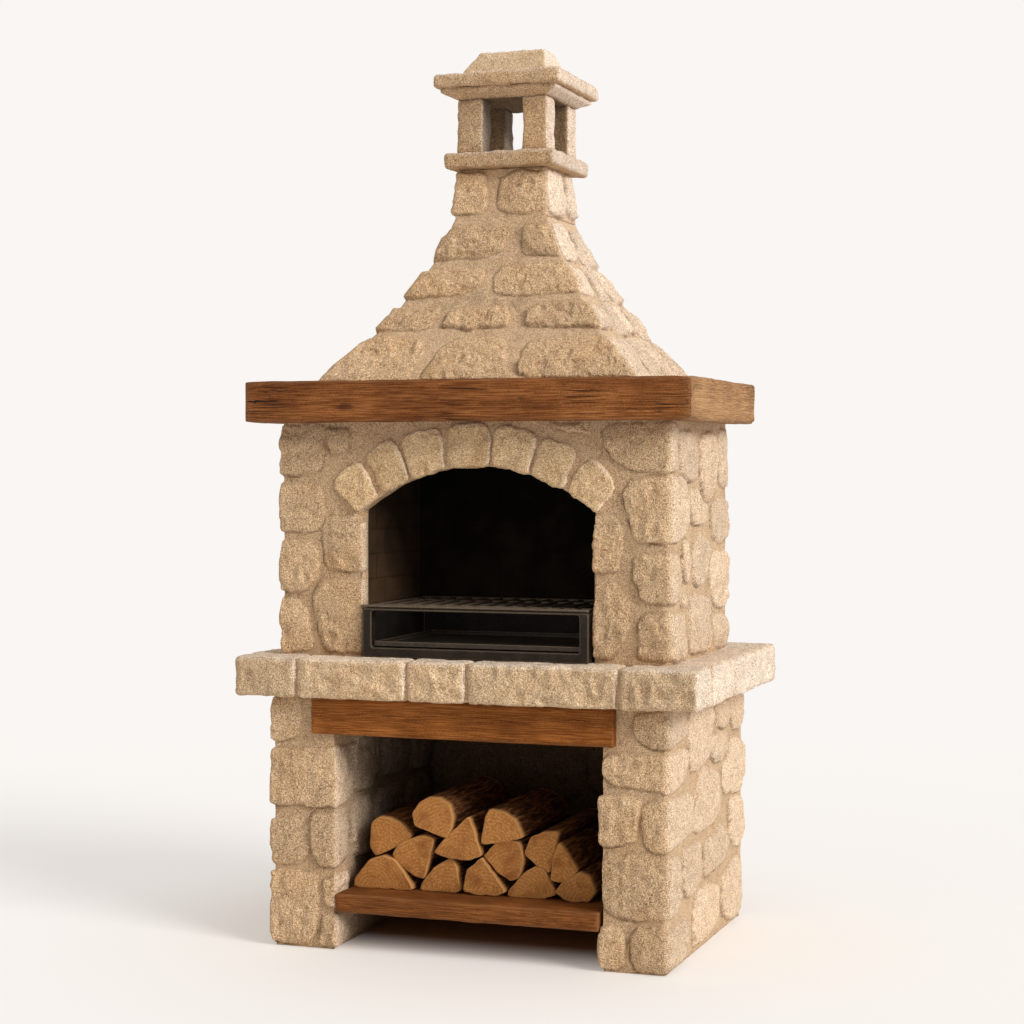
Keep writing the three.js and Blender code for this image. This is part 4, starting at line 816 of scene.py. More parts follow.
def wall_material(name, painted_light_share=0.18, brightness=1.0, sand_pale=mortar_pale, sand_dark=mortar_dark):
    """Stones in mortar, told apart by the wall's vertex values."""
    material, tree, shader = new_material(name)
    grain = grains(tree, stone_pale, stone_dark)
    sand = grains(tree, sand_pale, sand_dark, 0.2)
    stone = vertex_value(tree, "stone")
    mortar_tone = stone_tone(tree, sand, painted_light_share * 0.3)
    surface = blend_colours(tree, stone, mortar_tone, stone_tone(tree, grain, painted_light_share))
    # A painted shadow darkens the stones' lower and left edges and the creases where they meet.
    edge_shade_amount = reckon(tree, "MULTIPLY", vertex_value(tree, "crack"), edge_shadow_share)
    edge_shadowed = blend_colours(tree, edge_shade_amount, surface, colour(80, 57, 36))
    # Where the vertex value says so the colour darkens: painted shade in the log bay.
    painted_shade_amount = reckon(tree, "MULTIPLY", vertex_value(tree, "soot"), painted_shade_share)
    painted_shade_tone = blend_colours(tree, painted_shade_amount, edge_shadowed, colour(26, 17, 9))
    cast = (brightness, brightness * 0.97, brightness * 0.92, 1)
    toned = blend_colours(tree, 1.0, painted_shade_tone, cast, "MULTIPLY")
    height = reckon(tree, "MULTIPLY", (grain, "Height"), spread(tree, stone, mortar_bump, 1))
    finish_shader(tree, shader, toned, stone_roughness, stone_gloss, height, 0.8, grain_height)
    return material


beige_wall = wall_material("beige_rubble")
hood_wall = wall_material("pale_rubble", 0.33, 1.04, colour(232, 204, 172), colour(146, 117, 87))
print("wall materials:", beige_wall.name, hood_wall.name)

# %% [markdown]
# ## Base piers
# The stones of the front are drawn from the photograph one by one, in shares of the pier's front, and
# the quoins turn the corner onto the side. Faces are numbered as the plan is walked, counterclockwise
# from above. Faces that the photograph doesn't show carry rubble in the same rows.

# %% Pier stones
right_pier_quoins = [
    [(1.44, 0.934), (1.51, 0.985), (2.0, 0.997), (2.235, 0.985), (2.24, 0.87), (2.0, 0.851), (1.76, 0.848),
     (1.51, 0.879)],
    [(1.012, 0.79), (1.12, 0.822), (2.0, 0.832), (2.22, 0.83), (2.24, 0.7), (2.0, 0.684), (1.19, 0.703),
     (1.035, 0.735)],
    [(1.612, 0.628), (1.712, 0.652), (2.0, 0.657), (2.28, 0.65), (2.3, 0.49), (2.0, 0.465), (1.837, 0.455),
     (1.637, 0.482), (1.587, 0.559)],
    [(1.012, 0.434), (1.137, 0.457), (2.0, 0.448), (2.15, 0.43), (2.155, 0.23), (2.0, 0.208), (1.237, 0.204),
     (1.037, 0.239)],
    [(1.437, 0.15), (1.56, 0.18), (2.0, 0.165), (2.25, 0.17), (2.26, 0.02), (2.0, 0.008), (1.5, 0.004),
     (1.44, 0.058)],
    [(0.86, 0.655), (1.137, 0.665), (1.562, 0.663), (1.585, 0.628), (1.512, 0.496), (1.212, 0.475),
     (0.87, 0.489), (0.85, 0.56)],
    [(0.9, 0.165), (1.262, 0.172), (1.387, 0.142), (1.362, 0.031), (1.237, 0.006), (0.9, 0.008)],
]
right_pier_side = [
    [(2.26, 0.98), (2.55, 0.966), (2.58, 0.91), (2.52, 0.83), (2.51, 0.77), (2.41, 0.728), (2.29, 0.715),
     (2.25, 0.78), (2.25, 0.89)],
    [(2.6, 0.961), (2.78, 0.954), (2.79, 0.89), (2.8, 0.847), (2.73, 0.832), (2.63, 0.85), (2.6, 0.89)],
    [(2.82, 0.961), (2.98, 0.954), (3.04, 0.89), (3.04, 0.83), (2.97, 0.793), (2.86, 0.807), (2.82, 0.86)],
    [(2.54, 0.835), (2.66, 0.83), (2.78, 0.813), (2.78, 0.76), (2.75, 0.718), (2.68, 0.701), (2.6, 0.71),
     (2.54, 0.743), (2.52, 0.79)],
    [(2.82, 0.786), (2.94, 0.765), (3.02, 0.731), (3.04, 0.656), (3.02, 0.582), (2.94, 0.541), (2.84, 0.546),
     (2.74, 0.56), (2.7, 0.604), (2.7, 0.666), (2.75, 0.7), (2.81, 0.73)],
    [(2.46, 0.719), (2.55, 0.7), (2.64, 0.66), (2.67, 0.589), (2.67, 0.515), (2.61, 0.472), (2.49, 0.464),
     (2.37, 0.467), (2.32, 0.489), (2.33, 0.56), (2.34, 0.629), (2.39, 0.69)],
    [(2.81, 0.531), (2.94, 0.524), (3.01, 0.465), (3.03, 0.424), (3.01, 0.363), (2.96, 0.305), (2.87, 0.314),
     (2.81, 0.364), (2.8, 0.442), (2.79, 0.5)],
    [(2.48, 0.422), (2.58, 0.421), (2.68, 0.443), (2.75, 0.417), (2.78, 0.341), (2.77, 0.289),
     (2.64, 0.275), (2.48, 0.274), (2.45, 0.328), (2.45, 0.388)],
    [(2.19, 0.44), (2.27, 0.444), (2.37, 0.439), (2.42, 0.405), (2.42, 0.322), (2.38, 0.267), (2.29, 0.24),
     (2.22, 0.246), (2.18, 0.297), (2.17, 0.376)],
    [(2.37, 0.246), (2.5, 0.245), (2.63, 0.213), (2.65, 0.141), (2.66, 0.084), (2.59, 0.044), (2.48, 0.03),
     (2.33, 0.03), (2.31, 0.105), (2.32, 0.188)],
    [(2.7, 0.214), (2.8, 0.254), (2.91, 0.272), (3.0, 0.221), (3.03, 0.124), (3.02, 0.042), (2.95, 0.02),
     (2.8, 0.025), (2.71, 0.065), (2.69, 0.135)],
]
pier_rear = [
    (0.33, 0.97, 0.79, 0.98), (0.31, 0.97, 0.56, 0.76), (0.36, 0.97, 0.31, 0.52), (0.4, 0.97, 0.02, 0.26),
]
pier_inner = [
    (0.0, 0.22, 0.6, 0.82), (0.24, 0.54, 0.62, 0.8), (0.56, 0.82, 0.6, 0.84),
    (0.0, 0.3, 0.34, 0.56), (0.32, 0.6, 0.36, 0.58), (0.62, 0.83, 0.34, 0.57),
]
left_pier_quoins = [
    [(1.78, 0.97), (2.0, 0.995), (2.48, 0.995), (2.495, 0.906), (2.387, 0.837), (2.19, 0.812), (2.0, 0.815),
     (1.78, 0.83), (1.76, 0.9)],
    [(1.7, 0.77), (2.067, 0.79), (3.0, 0.798), (3.16, 0.79), (3.17, 0.58), (3.0, 0.56), (2.141, 0.562),
     (1.72, 0.58), (1.7, 0.68)],
    [(1.81, 0.5), (2.092, 0.51), (2.387, 0.524), (2.608, 0.489), (2.608, 0.42), (2.559, 0.364),
     (2.362, 0.32), (2.116, 0.325), (1.83, 0.34)],
    [(2.593, 0.54), (3.0, 0.545), (3.14, 0.54), (3.14, 0.34), (3.0, 0.33), (2.731, 0.325), (2.632, 0.364),
     (2.559, 0.434)],
    [(1.73, 0.28), (2.116, 0.302), (2.706, 0.302), (2.721, 0.17), (2.682, 0.058), (2.534, 0.01),
     (2.092, 0.01), (1.75, 0.02), (1.72, 0.15)],
    [(2.78, 0.28), (3.0, 0.297), (3.14, 0.29), (3.14, 0.175), (3.0, 0.165), (2.829, 0.163)],
    [(2.755, 0.14), (3.0, 0.143), (3.22, 0.13), (3.22, 0.01), (3.0, 0.01), (2.731, 0.01)],
]
left_pier_side = [
    (0.51, 0.75, 0.78, 0.97), (0.25, 0.49, 0.82, 0.98), (-0.3, 0.23, 0.79, 0.98),
    (0.38, 0.68, 0.53, 0.76), (-0.3, 0.36, 0.55, 0.76), (0.52, 0.79, 0.31, 0.51), (0.26, 0.5, 0.29, 0.51),
    (-0.3, 0.24, 0.31, 0.52), (0.42, 0.7, 0.02, 0.28), (-0.32, 0.4, 0.02, 0.27),
]
print("quoins drawn:", len(right_pier_quoins) + len(left_pier_quoins))

# %% Build the piers
front_cell = 0.0036
side_cell = 0.0064
hidden_cell = 0.0125
butt_cell = 0.02
row_cell = 0.0044
under_hearth = 0.006
pocket_rim = 0.006
pocket_level = -0.0005


def flipped(rows):
    """Rubble rows for the same face of the part on the other side."""
    return [(1 - right, 1 - left, low, high) for left, right, low, high in rows]


def pier(side, cells, stones, seed, shade_front, pocket, worn_corner=None):
    """A pier's skin, with painted shade on its inner side and the shelf's pocket pressed in."""
    node = side + "_pier"
    low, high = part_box(node)
    tall = high.z - low.z
    is_right = side == "right"
    inner, outer = (low.x, high.x) if is_right else (high.x, low.x)
    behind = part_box("base_rear_wall")[0].y
    plan = [(inner, behind), (inner, low.y), (outer, low.y), (outer, high.y), (inner, high.y)]
    if not is_right:
        plan.reverse()
    above = [1 + under_hearth / tall]
    sheet = plan_sheet(plan, low.z, high.z, cells, row_cell, levels=above, worn_corner=worn_corner)
    skin = lay_stones(sheet, stones, seed)
    darken_inside(sheet, skin, shade_front, -1 if is_right else 1)
    wear_foot(sheet, skin)
    bottom, top = [(level.z - low.z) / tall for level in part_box("log_shelf")]
    press_in(sheet, skin, *pocket, bottom - pocket_rim, top + pocket_rim, pocket_level)
    wall_piece(node + "_stonework", sheet, skin, beige_wall, [node])


right_pier_stones = right_pier_quoins + right_pier_side + rubble_face(3, pier_rear, 4)
right_pier_stones += rubble_face(0, pier_inner, 5)
left_pier_stones = left_pier_quoins + rubble_face(1, left_pier_side, 6)
left_pier_stones += rubble_face(0, flipped(pier_rear), 7) + rubble_face(3, flipped(pier_inner), 8)
pier("right", [hidden_cell, front_cell, side_cell, hidden_cell, butt_cell], right_pier_stones, 11,
     0.98, (0.9, 1.14), 2)
pier("left", [hidden_cell, hidden_cell, front_cell, hidden_cell, butt_cell], left_pier_stones, 12,
     3.04, (2.86, 3.1))
print("piers are built")

# %% Build the base rear wall
base_rear = [
    (0.02, 0.34, 0.76, 0.98), (0.36, 0.66, 0.73, 0.97), (0.68, 0.98, 0.77, 0.98), (0.02, 0.28, 0.49, 0.73),
    (0.3, 0.62, 0.46, 0.7), (0.64, 0.98, 0.5, 0.74), (0.02, 0.4, 0.24, 0.46), (0.42, 0.7, 0.21, 0.43),
    (0.72, 0.98, 0.26, 0.47), (0.02, 0.32, 0.02, 0.21), (0.34, 0.64, 0.02, 0.18), (0.66, 0.98, 0.02, 0.23),
]
let_in = 0.022
end_cell = 0.03
rear_row_cell = 0.01
rear_bay_shade = 1.15


def rear_wall(name, node, rows, seed, front_rows=()):
    """A wall between two others, let into them at both ends, with stones on its rear and front."""
    low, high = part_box(node)
    left, right = low.x - let_in, high.x + let_in
    plan = [(left, low.y), (right, low.y), (right, high.y), (left, high.y)]
    sheet = plan_sheet(plan, low.z, high.z, [hidden_cell, end_cell, hidden_cell, end_cell], rear_row_cell)
    stones = rubble_face(2, rows, seed) + rubble_face(0, front_rows, seed + 1)
    skin = lay_stones(sheet, stones, seed)
    if front_rows:
        # The front face, at the back of the log bay, is darkened all over: painted shade.
        skin["soot"] = np.where(sheet["u"] < 1.5, rear_bay_shade, 0)
    return wall_piece(name, sheet, skin, beige_wall, [node])


rear_wall("base_rear_stonework", "base_rear_wall", base_rear, 13, base_rear)
print("base rear wall is built")

# %% [markdown]
# ## Firebox walls
# The jamb stones are drawn from the photograph too. The tall ones by the opening turn into the reveal.
# Where the arch wall seats on the jambs the skin is held back, so that only one surface shows there.

# %% Firebox stones
left_jamb_stones = [
    [(1.84, 0.985), (2.0, 0.995), (2.555, 0.994), (2.532, 0.905), (2.547, 0.863), (2.478, 0.78),
     (2.077, 0.769), (1.85, 0.785), (1.83, 0.88)],
    [(1.71, 0.735), (2.027, 0.749), (2.355, 0.739), (2.501, 0.724), (2.547, 0.636), (2.478, 0.538),
     (2.316, 0.524), (2.039, 0.527), (1.72, 0.54)],
    [(1.81, 0.48), (2.027, 0.495), (2.355, 0.493), (2.478, 0.432), (2.451, 0.334), (2.285, 0.269),
     (2.066, 0.269), (1.82, 0.28)],
    [(1.73, 0.235), (2.047, 0.251), (2.201, 0.244), (2.336, 0.198), (2.355, 0.123), (2.393, 0.04),
     (2.355, 0.01), (2.027, 0.01), (1.74, 0.02)],
    [(2.567, 0.603), (3.0, 0.605), (3.6, 0.6), (3.62, 0.375), (3.0, 0.365), (2.567, 0.364), (2.517, 0.41),
     (2.49, 0.546)],
    [(2.49, 0.327), (3.0, 0.33), (3.7, 0.32), (3.72, 0.02), (3.0, 0.012), (2.501, 0.017), (2.413, 0.168),
     (2.386, 0.244), (2.451, 0.312)],
    [(2.568, 0.983), (2.8, 0.98), (2.86, 0.94), (2.776, 0.87), (2.6, 0.862), (2.568, 0.923)],
]
left_side_stones = [
    (0.5, 0.82, 0.78, 0.97), (0.2, 0.48, 0.72, 0.95), (-0.3, 0.18, 0.75, 0.98), (0.34, 0.68, 0.54, 0.75),
    (-0.32, 0.32, 0.5, 0.7), (0.4, 0.79, 0.29, 0.51), (-0.3, 0.38, 0.26, 0.47), (0.32, 0.7, 0.02, 0.26),
    (-0.34, 0.3, 0.02, 0.23),
]
right_jamb_stones = [
    [(1.099, 0.953), (1.201, 0.991), (2.0, 0.995), (2.125, 0.985), (2.13, 0.8), (2.0, 0.787), (1.444, 0.795),
     (1.267, 0.833), (1.135, 0.893)],
    [(1.488, 0.772), (2.0, 0.775), (2.27, 0.765), (2.285, 0.52), (2.0, 0.498), (1.686, 0.493), (1.488, 0.515),
     (1.399, 0.636), (1.342, 0.697)],
    [(0.45, 0.6), (1.0, 0.612), (1.289, 0.614), (1.355, 0.546), (1.346, 0.379), (1.0, 0.37), (0.45, 0.38)],
    [(1.532, 0.45), (2.0, 0.46), (2.155, 0.445), (2.165, 0.26), (2.0, 0.243), (1.62, 0.251), (1.488, 0.364),
     (1.479, 0.425)],
    [(0.35, 0.32), (1.0, 0.332), (1.267, 0.334), (1.466, 0.259), (1.444, 0.123), (1.311, 0.047),
     (1.201, 0.01), (0.35, 0.02)],
    [(1.62, 0.206), (2.0, 0.212), (2.25, 0.2), (2.265, 0.02), (2.0, 0.012), (1.554, 0.017), (1.545, 0.108),
     (1.576, 0.168)],
]
right_side_stones = [
    [(2.16, 0.963), (2.34, 0.96), (2.41, 0.924), (2.47, 0.882), (2.47, 0.772), (2.4, 0.751), (2.28, 0.748),
     (2.18, 0.765), (2.16, 0.839)],
    [(2.5, 0.951), (2.76, 0.963), (2.8, 0.884), (2.8, 0.775), (2.79, 0.726), (2.7, 0.67), (2.61, 0.659),
     (2.54, 0.69), (2.5, 0.755), (2.5, 0.861)],
    [(2.83, 0.964), (3.0, 0.98), (3.04, 0.908), (3.04, 0.832), (2.99, 0.751), (2.95, 0.711), (2.85, 0.726),
     (2.83, 0.796), (2.83, 0.885)],
    [(2.33, 0.714), (2.43, 0.721), (2.5, 0.669), (2.63, 0.637), (2.63, 0.589), (2.52, 0.562), (2.4, 0.569),
     (2.33, 0.583), (2.31, 0.651)],
    [(2.74, 0.661), (2.89, 0.672), (3.02, 0.648), (3.05, 0.594), (3.04, 0.527), (2.97, 0.483),
     (2.82, 0.475), (2.74, 0.495), (2.69, 0.557), (2.7, 0.622)],
    [(2.21, 0.503), (2.28, 0.501), (2.32, 0.462), (2.32, 0.37), (2.3, 0.328), (2.23, 0.336), (2.2, 0.375),
     (2.19, 0.446)],
    [(2.38, 0.481), (2.51, 0.532), (2.65, 0.489), (2.69, 0.449), (2.63, 0.386), (2.62, 0.33), (2.53, 0.309),
     (2.42, 0.305), (2.37, 0.355), (2.35, 0.427)],
    [(2.73, 0.434), (2.9, 0.441), (3.02, 0.411), (3.05, 0.324), (3.02, 0.235), (2.94, 0.185), (2.8, 0.189),
     (2.75, 0.214), (2.69, 0.274), (2.67, 0.341), (2.69, 0.396)],
    [(2.18, 0.291), (2.25, 0.281), (2.27, 0.24), (2.23, 0.225), (2.18, 0.23)],
    [(2.32, 0.269), (2.45, 0.274), (2.63, 0.247), (2.69, 0.178), (2.69, 0.056), (2.65, 0.019), (2.46, 0.014),
     (2.32, 0.03), (2.3, 0.127), (2.32, 0.21)],
    [(2.75, 0.166), (2.9, 0.165), (3.02, 0.132), (3.05, 0.068), (3.04, 0.015), (2.79, 0.018), (2.73, 0.075)],
]
side_wall_rear = [
    (0.4, 0.97, 0.75, 0.98), (0.42, 0.97, 0.5, 0.7), (0.38, 0.97, 0.26, 0.47), (0.4, 0.97, 0.02, 0.2),
]
firebox_rear = [
    (0.02, 0.3, 0.76, 0.98), (0.32, 0.66, 0.73, 0.97), (0.68, 0.98, 0.77, 0.98), (0.02, 0.36, 0.5, 0.73),
    (0.38, 0.64, 0.48, 0.7), (0.66, 0.98, 0.51, 0.74), (0.02, 0.28, 0.25, 0.47), (0.3, 0.68, 0.23, 0.45),
    (0.7, 0.98, 0.26, 0.48), (0.02, 0.4, 0.02, 0.22), (0.42, 0.7, 0.02, 0.2), (0.72, 0.98, 0.02, 0.23),
]
print("jamb stones drawn:", len(left_jamb_stones) + len(right_jamb_stones))

# %% Build the firebox walls
arch_low, arch_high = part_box("arch_spandrel")
behind_arch = -0.03
reveal_level = -0.0015
hair = 0.0002
under_mantel = 0.006
past_top = 2


def firebox_wall(side, cells, stones, seed, front_face, reveal):
    """A side wall's skin. Grid lines run on both sides of the arch wall's seat, which is held back."""
    node = "firebox_wall_" + side
    low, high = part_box(node)
    wide = high.x - low.x
    tall = high.z - low.z
    is_right = side == "right"
    opening, outer = (low.x, high.x) if is_right else (high.x, low.x)
    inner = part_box("lining_" + side)[1 if is_right else 0].x
    seam = (arch_high if is_right else arch_low).x
    plan = [(opening, arch_high.y), (opening, low.y), (outer, low.y), (outer, high.y), (inner, high.y)]
    if not is_right:
        plan.reverse()
    plan.append((inner, arch_high.y))
    seam_u = front_face + (seam - low.x) / wide
    seat = (arch_low.z - low.z) / tall
    columns = [seam_u - hair / wide, seam_u + hair / wide]
    levels = [-under_mantel / tall, seat - hair / tall, seat + hair / tall, 1 + under_mantel / tall]
    worn_corner = 2 if is_right else None
    sheet = plan_sheet(plan, low.z, high.z, cells, row_cell, columns, levels, worn_corner)
    skin = lay_stones(sheet, stones, seed)
    fill_face(sheet, skin, *reveal, reveal_level)
    seat_from, seat_to = (0, seam_u) if is_right else (seam_u, front_face + 2)
    press_in(sheet, skin, seat_from, seat_to, seat, past_top, behind_arch)
    wall_piece(f"firebox_{side}_stonework", sheet, skin, beige_wall, [node])
    return sheet


right_wall_stones = right_jamb_stones + right_side_stones + rubble_face(3, side_wall_rear, 16)
left_wall_stones = left_jamb_stones + rubble_face(1, left_side_stones, 18)
left_wall_stones += rubble_face(0, flipped(side_wall_rear), 19)
right_cells = [hidden_cell, front_cell, side_cell, hidden_cell, end_cell, butt_cell]
left_cells = [hidden_cell, hidden_cell, front_cell, hidden_cell, butt_cell, end_cell]
right_sheet = firebox_wall("right", right_cells, right_wall_stones, 14, 1, (-1, 0.93))
left_sheet = firebox_wall("left", left_cells, left_wall_stones, 17, 2, (3.07, 6))
rear_wall("firebox_rear_stonework", "firebox_wall_rear", firebox_rear, 20)
print("firebox walls are built")

# %% [markdown]
# ## Arch
# The arch wall is a loop of mortar swept along the opening: front, underside and back. It lays the same
# jamb stones as the walls beside it, so the stones run on across the joint between the two. The seven
# arch stones are blocks bent to the arch, each fitted to its own four corners, given as degrees round
# the arch and metres out from its underside.

# %% Arch wall
opening_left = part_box("firebox_wall_left")[1].x
opening_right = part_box("firebox_wall_right")[0].x
spring_rise = 0.028
arch_rise = 0.113
half_opening = (opening_right - opening_left) / 2
arch_middle = (opening_left + opening_right) / 2
arch_radius = (half_opening**2 + arch_rise**2) / (2 * arch_rise)
arch_centre = arch_low.z + spring_rise + arch_rise - arch_radius
arch_turn = math.asin(half_opening / arch_radius)
wall_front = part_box("firebox_wall_left")[0].y
mortar_back = 0.004
fold_back = 0.003
curve_steps = 270
foot_steps = 8
front_steps = 52
under_steps = 9
arch_stone_marks = [
    [(0.74, 0.985), (0.87, 0.985), (0.875, 0.87), (0.81, 0.89), (0.745, 0.93)],
]


def arch_curve(steps):
    """Points on the opening's edge, from the foot of one springer over the crown to the other's."""
    angles = np.linspace(-arch_turn, arch_turn, steps)
    radius = arch_radius + mortar_back
    x = arch_middle + radius * np.sin(angles)
    z = arch_centre + radius * np.cos(angles)
    low = np.linspace(arch_low.z - hair, z[0], foot_steps, endpoint=False)
    left = np.stack([np.full(foot_steps, x[0] - mortar_back / 2), low], axis=1)
    right = np.stack([np.full(foot_steps, x[-1] + mortar_back / 2), low[::-1]], axis=1)
    return np.concatenate([left, np.stack([x, z], axis=1), right])


def arch_border(count):
    """As many points on the arch wall's outer border, from its lower left over the top."""
    left, right = arch_low.x - hair, arch_high.x + hair
    low, top = arch_low.z - hair, arch_high.z + under_mantel
    tall = top - low
    whole = tall * 2 + right - left
    border = []
    for walked in np.linspace(0, whole, count):
        if walked < tall:
            border.append((left, low + walked))
        elif walked < tall + right - left:
            border.append((left + walked - tall, top))
        else:
            border.append((right, top - (walked - tall - right + left)))
    return np.array(border)


def in_arch_shares(stones, sheet, front_face, node):
    """A side wall's stones as shares of the arch wall, unrolled past the side wall's corners."""
    low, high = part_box(node)
    starts = sheet["starts"]
    moved = []
    for stone in stones:
        shares = []
        for u, rise in stone:
            x = low.x + np.interp(u, np.arange(len(starts)), starts) - starts[front_face]
            z = low.z + rise * (high.z - low.z)
            shares.append(((x - arch_low.x) / (arch_high.x - arch_low.x),
                           (z - arch_low.z) / (arch_high.z - arch_low.z)))
        moved.append(shares)
    return moved


def arch_wall():
    """The arch wall's front, underside and back as a loop of points swept from springer to springer."""
    inner = arch_curve(curve_steps)
    outer = arch_border(len(inner))
    across = np.linspace(0, 1, front_steps)[:, None, None]
    front = outer[None] * (1 - across) + inner[None] * across
    deep = np.linspace(wall_front + mortar_depth + fold_back, arch_high.y, under_steps)
    under = np.repeat(inner[None], len(deep), axis=0)
    back = np.stack([(outer + inner) / 2, outer])
    flat = np.concatenate([front, under, back])
    levels = np.concatenate([np.full(len(front), wall_front), deep, np.full(2, arch_high.y)])
    spot = np.zeros((*flat.shape[:2], 3))
    spot[..., 0] = flat[..., 0]
    spot[..., 1] = levels[:, None]
    spot[..., 2] = flat[..., 1]
    size = (arch_high.x - arch_low.x, arch_high.z - arch_low.z)

    def measure(u, rise, middle):
        return (u - middle) * size[0], rise * size[1]

    sheet = {
        "u": (spot[..., 0] - arch_low.x) / size[0],
        "rise": (spot[..., 2] - arch_low.z) / size[1],
        "spot": spot,
        "out": np.zeros_like(spot),
        "measure": measure,
    }
    left = in_arch_shares(left_jamb_stones, left_sheet, 2, "firebox_wall_left")
    right = in_arch_shares(right_jamb_stones, right_sheet, 1, "firebox_wall_right")
    seeds = own_seeds(17, left) + own_seeds(14, right) + own_seeds(22, arch_stone_marks)
    skin = lay_stones(sheet, left + right + arch_stone_marks, 22, seeds=seeds)
    is_front = (np.arange(len(flat)) < len(front))[:, None]
    for key in ("stone", "crack"):
        skin[key] = np.where(is_front, skin[key], 0)
    spot[..., 1] -= np.where(is_front, skin["height"], 0)
    underside = slice(len(front), len(front) + len(deep))
    spot[underside, :, 2] += lumps(spot[underside], 0.02, 23) * 0.0015
    grid = spot.transpose(1, 0, 2)
    rows, columns = grid.shape[:2]
    faces = [face[::-1] for face in ring_faces(rows, columns) + ring_caps(rows, columns)]
    piece = new_piece("arch_mortar", grid.reshape(-1, 3), faces, [beige_wall])
    for key in skin_values:
        write_value(piece, key, skin[key].T)
    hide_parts("arch_spandrel")


arch_wall()
print("arch radius:", round(arch_radius, 3))

# %% [markdown]
# ## Worn blocks
# The arch stones, the hearth, the cap and the beams are all blocks with worn edges. A block's six sides
# are gridded and welded, the points are drawn in to a smaller box and pushed out again by the edge
# radius, which rounds every arris, and noise then moves them along the surface. A bevelled cube would be
# quicker, but its faces would stay flat.

# %% Block grids
def block_points(size, cell, edge):
    """A rounded block from the origin to size: its points, their outward directions and its quads."""
    counts = [max(3, math.ceil(length / cell)) for length in size]
    numbers = {}
    faces = []

    def number(key):
        return numbers.setdefault(key, len(numbers))

    for axis in range(3):
        first, second = (axis + 1) % 3, (axis + 2) % 3
        for end in (0, counts[axis]):
            for i in range(counts[first]):
                for j in range(counts[second]):
                    face = []
                    for di, dj in ((0, 0), (1, 0), (1, 1), (0, 1)):
                        key = [0, 0, 0]
                        key[axis], key[first], key[second] = end, i + di, j + dj
                        face.append(number(tuple(key)))
                    faces.append(tuple(face) if end else tuple(face[::-1]))
    size = np.array(size)
    points = np.array(list(numbers)) / np.array(counts) * size
    core = np.clip(points, edge, size - edge)
    out = points - core
    out /= np.linalg.norm(out, axis=1)[:, None]
    return core + out * edge, out, faces


print("block quads:", len(block_points((0.1, 0.1, 0.1), 0.02, 0.01)[2]))

# %% [markdown]
# ## Block stone material
# Dressed blocks have no mortar, so their material is the grain group alone. Each block keeps its own
# tint, and the side towards the key lamp and the top are painted paler, painted light as on the walls.

# %% Block stone material
deepest_chip = -0.01
highest_lump = 0.0055
top_painted_light = 0.9


def block_material(name, pale, dark, strength=0.8):
    """Sandstone for separate blocks."""
    material, tree, shader = new_material(name)
    grain = grains(tree, pale, dark)
    # Where the vertex value says so the blocks are darkened: painted shade in the cap's hollow.
    painted_shade_tone = blend_colours(tree, vertex_value(tree, "soot"), stone_tone(tree, grain, 0.3), colour(48, 33, 20))
    height = (grain, "Height")
    finish_shader(tree, shader, painted_shade_tone, stone_roughness, stone_gloss, height, strength, grain_height)
    return material


beige_block = block_material("beige_block", colour(255, 226, 186), colour(134, 97, 62))
# In the mantel's shade, the arch stones' copy is painted brighter and warmer: painted light.
arch_block = block_material("arch_block", colour(255, 226, 182), colour(152, 108, 62))
cap_stone = block_material("cap_stone", colour(236, 202, 162), colour(118, 88, 58), 0.6)


def stone_block(name, low, high, edge, cell, seed, roughness, material, nodes, shape=None, soot=None):
    """A worn stone block. roughness is a share of the rock face, or a function that gives it."""
    size = [high[axis] - low[axis] for axis in range(3)]
    points, out, faces = block_points(size, cell, edge)
    points = points + np.array(low)
    if shape:
        points, out = shape(points, out)
    lift = np.clip(rock(points + seed * 0.31, seed), deepest_chip, highest_lump)
    lift = lift * (roughness(out) if callable(roughness) else roughness)
    points = points + out * lift[:, None]
    piece = new_piece(name, points, faces, [material])
    write_value(piece, "tint", np.full(len(points), np.random.default_rng(seed).uniform(0, 1)))
    # Faces towards the key lamp and tops are painted paler: painted light.
    write_value(piece, "bleach", np.clip(np.maximum(facing_sun(out), out[:, 2] * top_painted_light), 0, 1))
    write_value(piece, "soot", soot(points, out) if soot else np.zeros(len(points)))
    if nodes:
        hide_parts(*nodes)
    return piece


print("block materials:", beige_block.name, cap_stone.name)

# %% Arch stones
arch_stone_corners = [
    [(-41.6, 0.012), (-33.3, 0.006), (-32.7, 0.122), (-43.0, 0.112)],
    [(-31.3, 0.003), (-22.0, 0.003), (-22.3, 0.121), (-31.0, 0.118)],
    [(-20.9, 0.003), (-10.0, 0.003), (-9.5, 0.115), (-20.3, 0.117)],
    [(-9.0, 0.002), (4.1, 0.002), (3.9, 0.112), (-7.9, 0.111)],
    [(4.8, 0.002), (16.4, 0.002), (16.1, 0.112), (4.9, 0.108)],
    [(17.5, 0.001), (27.9, 0.0), (27.5, 0.111), (17.4, 0.106)],
    [(29.5, 0.004), (40.4, 0.004), (40.6, 0.09), (29.9, 0.113)],
]
arch_stone_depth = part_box("voussoir_1")[1].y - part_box("voussoir_1")[0].y
flat_wide = 0.1
flat_tall = 0.11
arch_stone_edge = 0.007
arch_stone_cell = 0.0041
corner_pull_top = 0.16
corner_pull_foot = 0.06


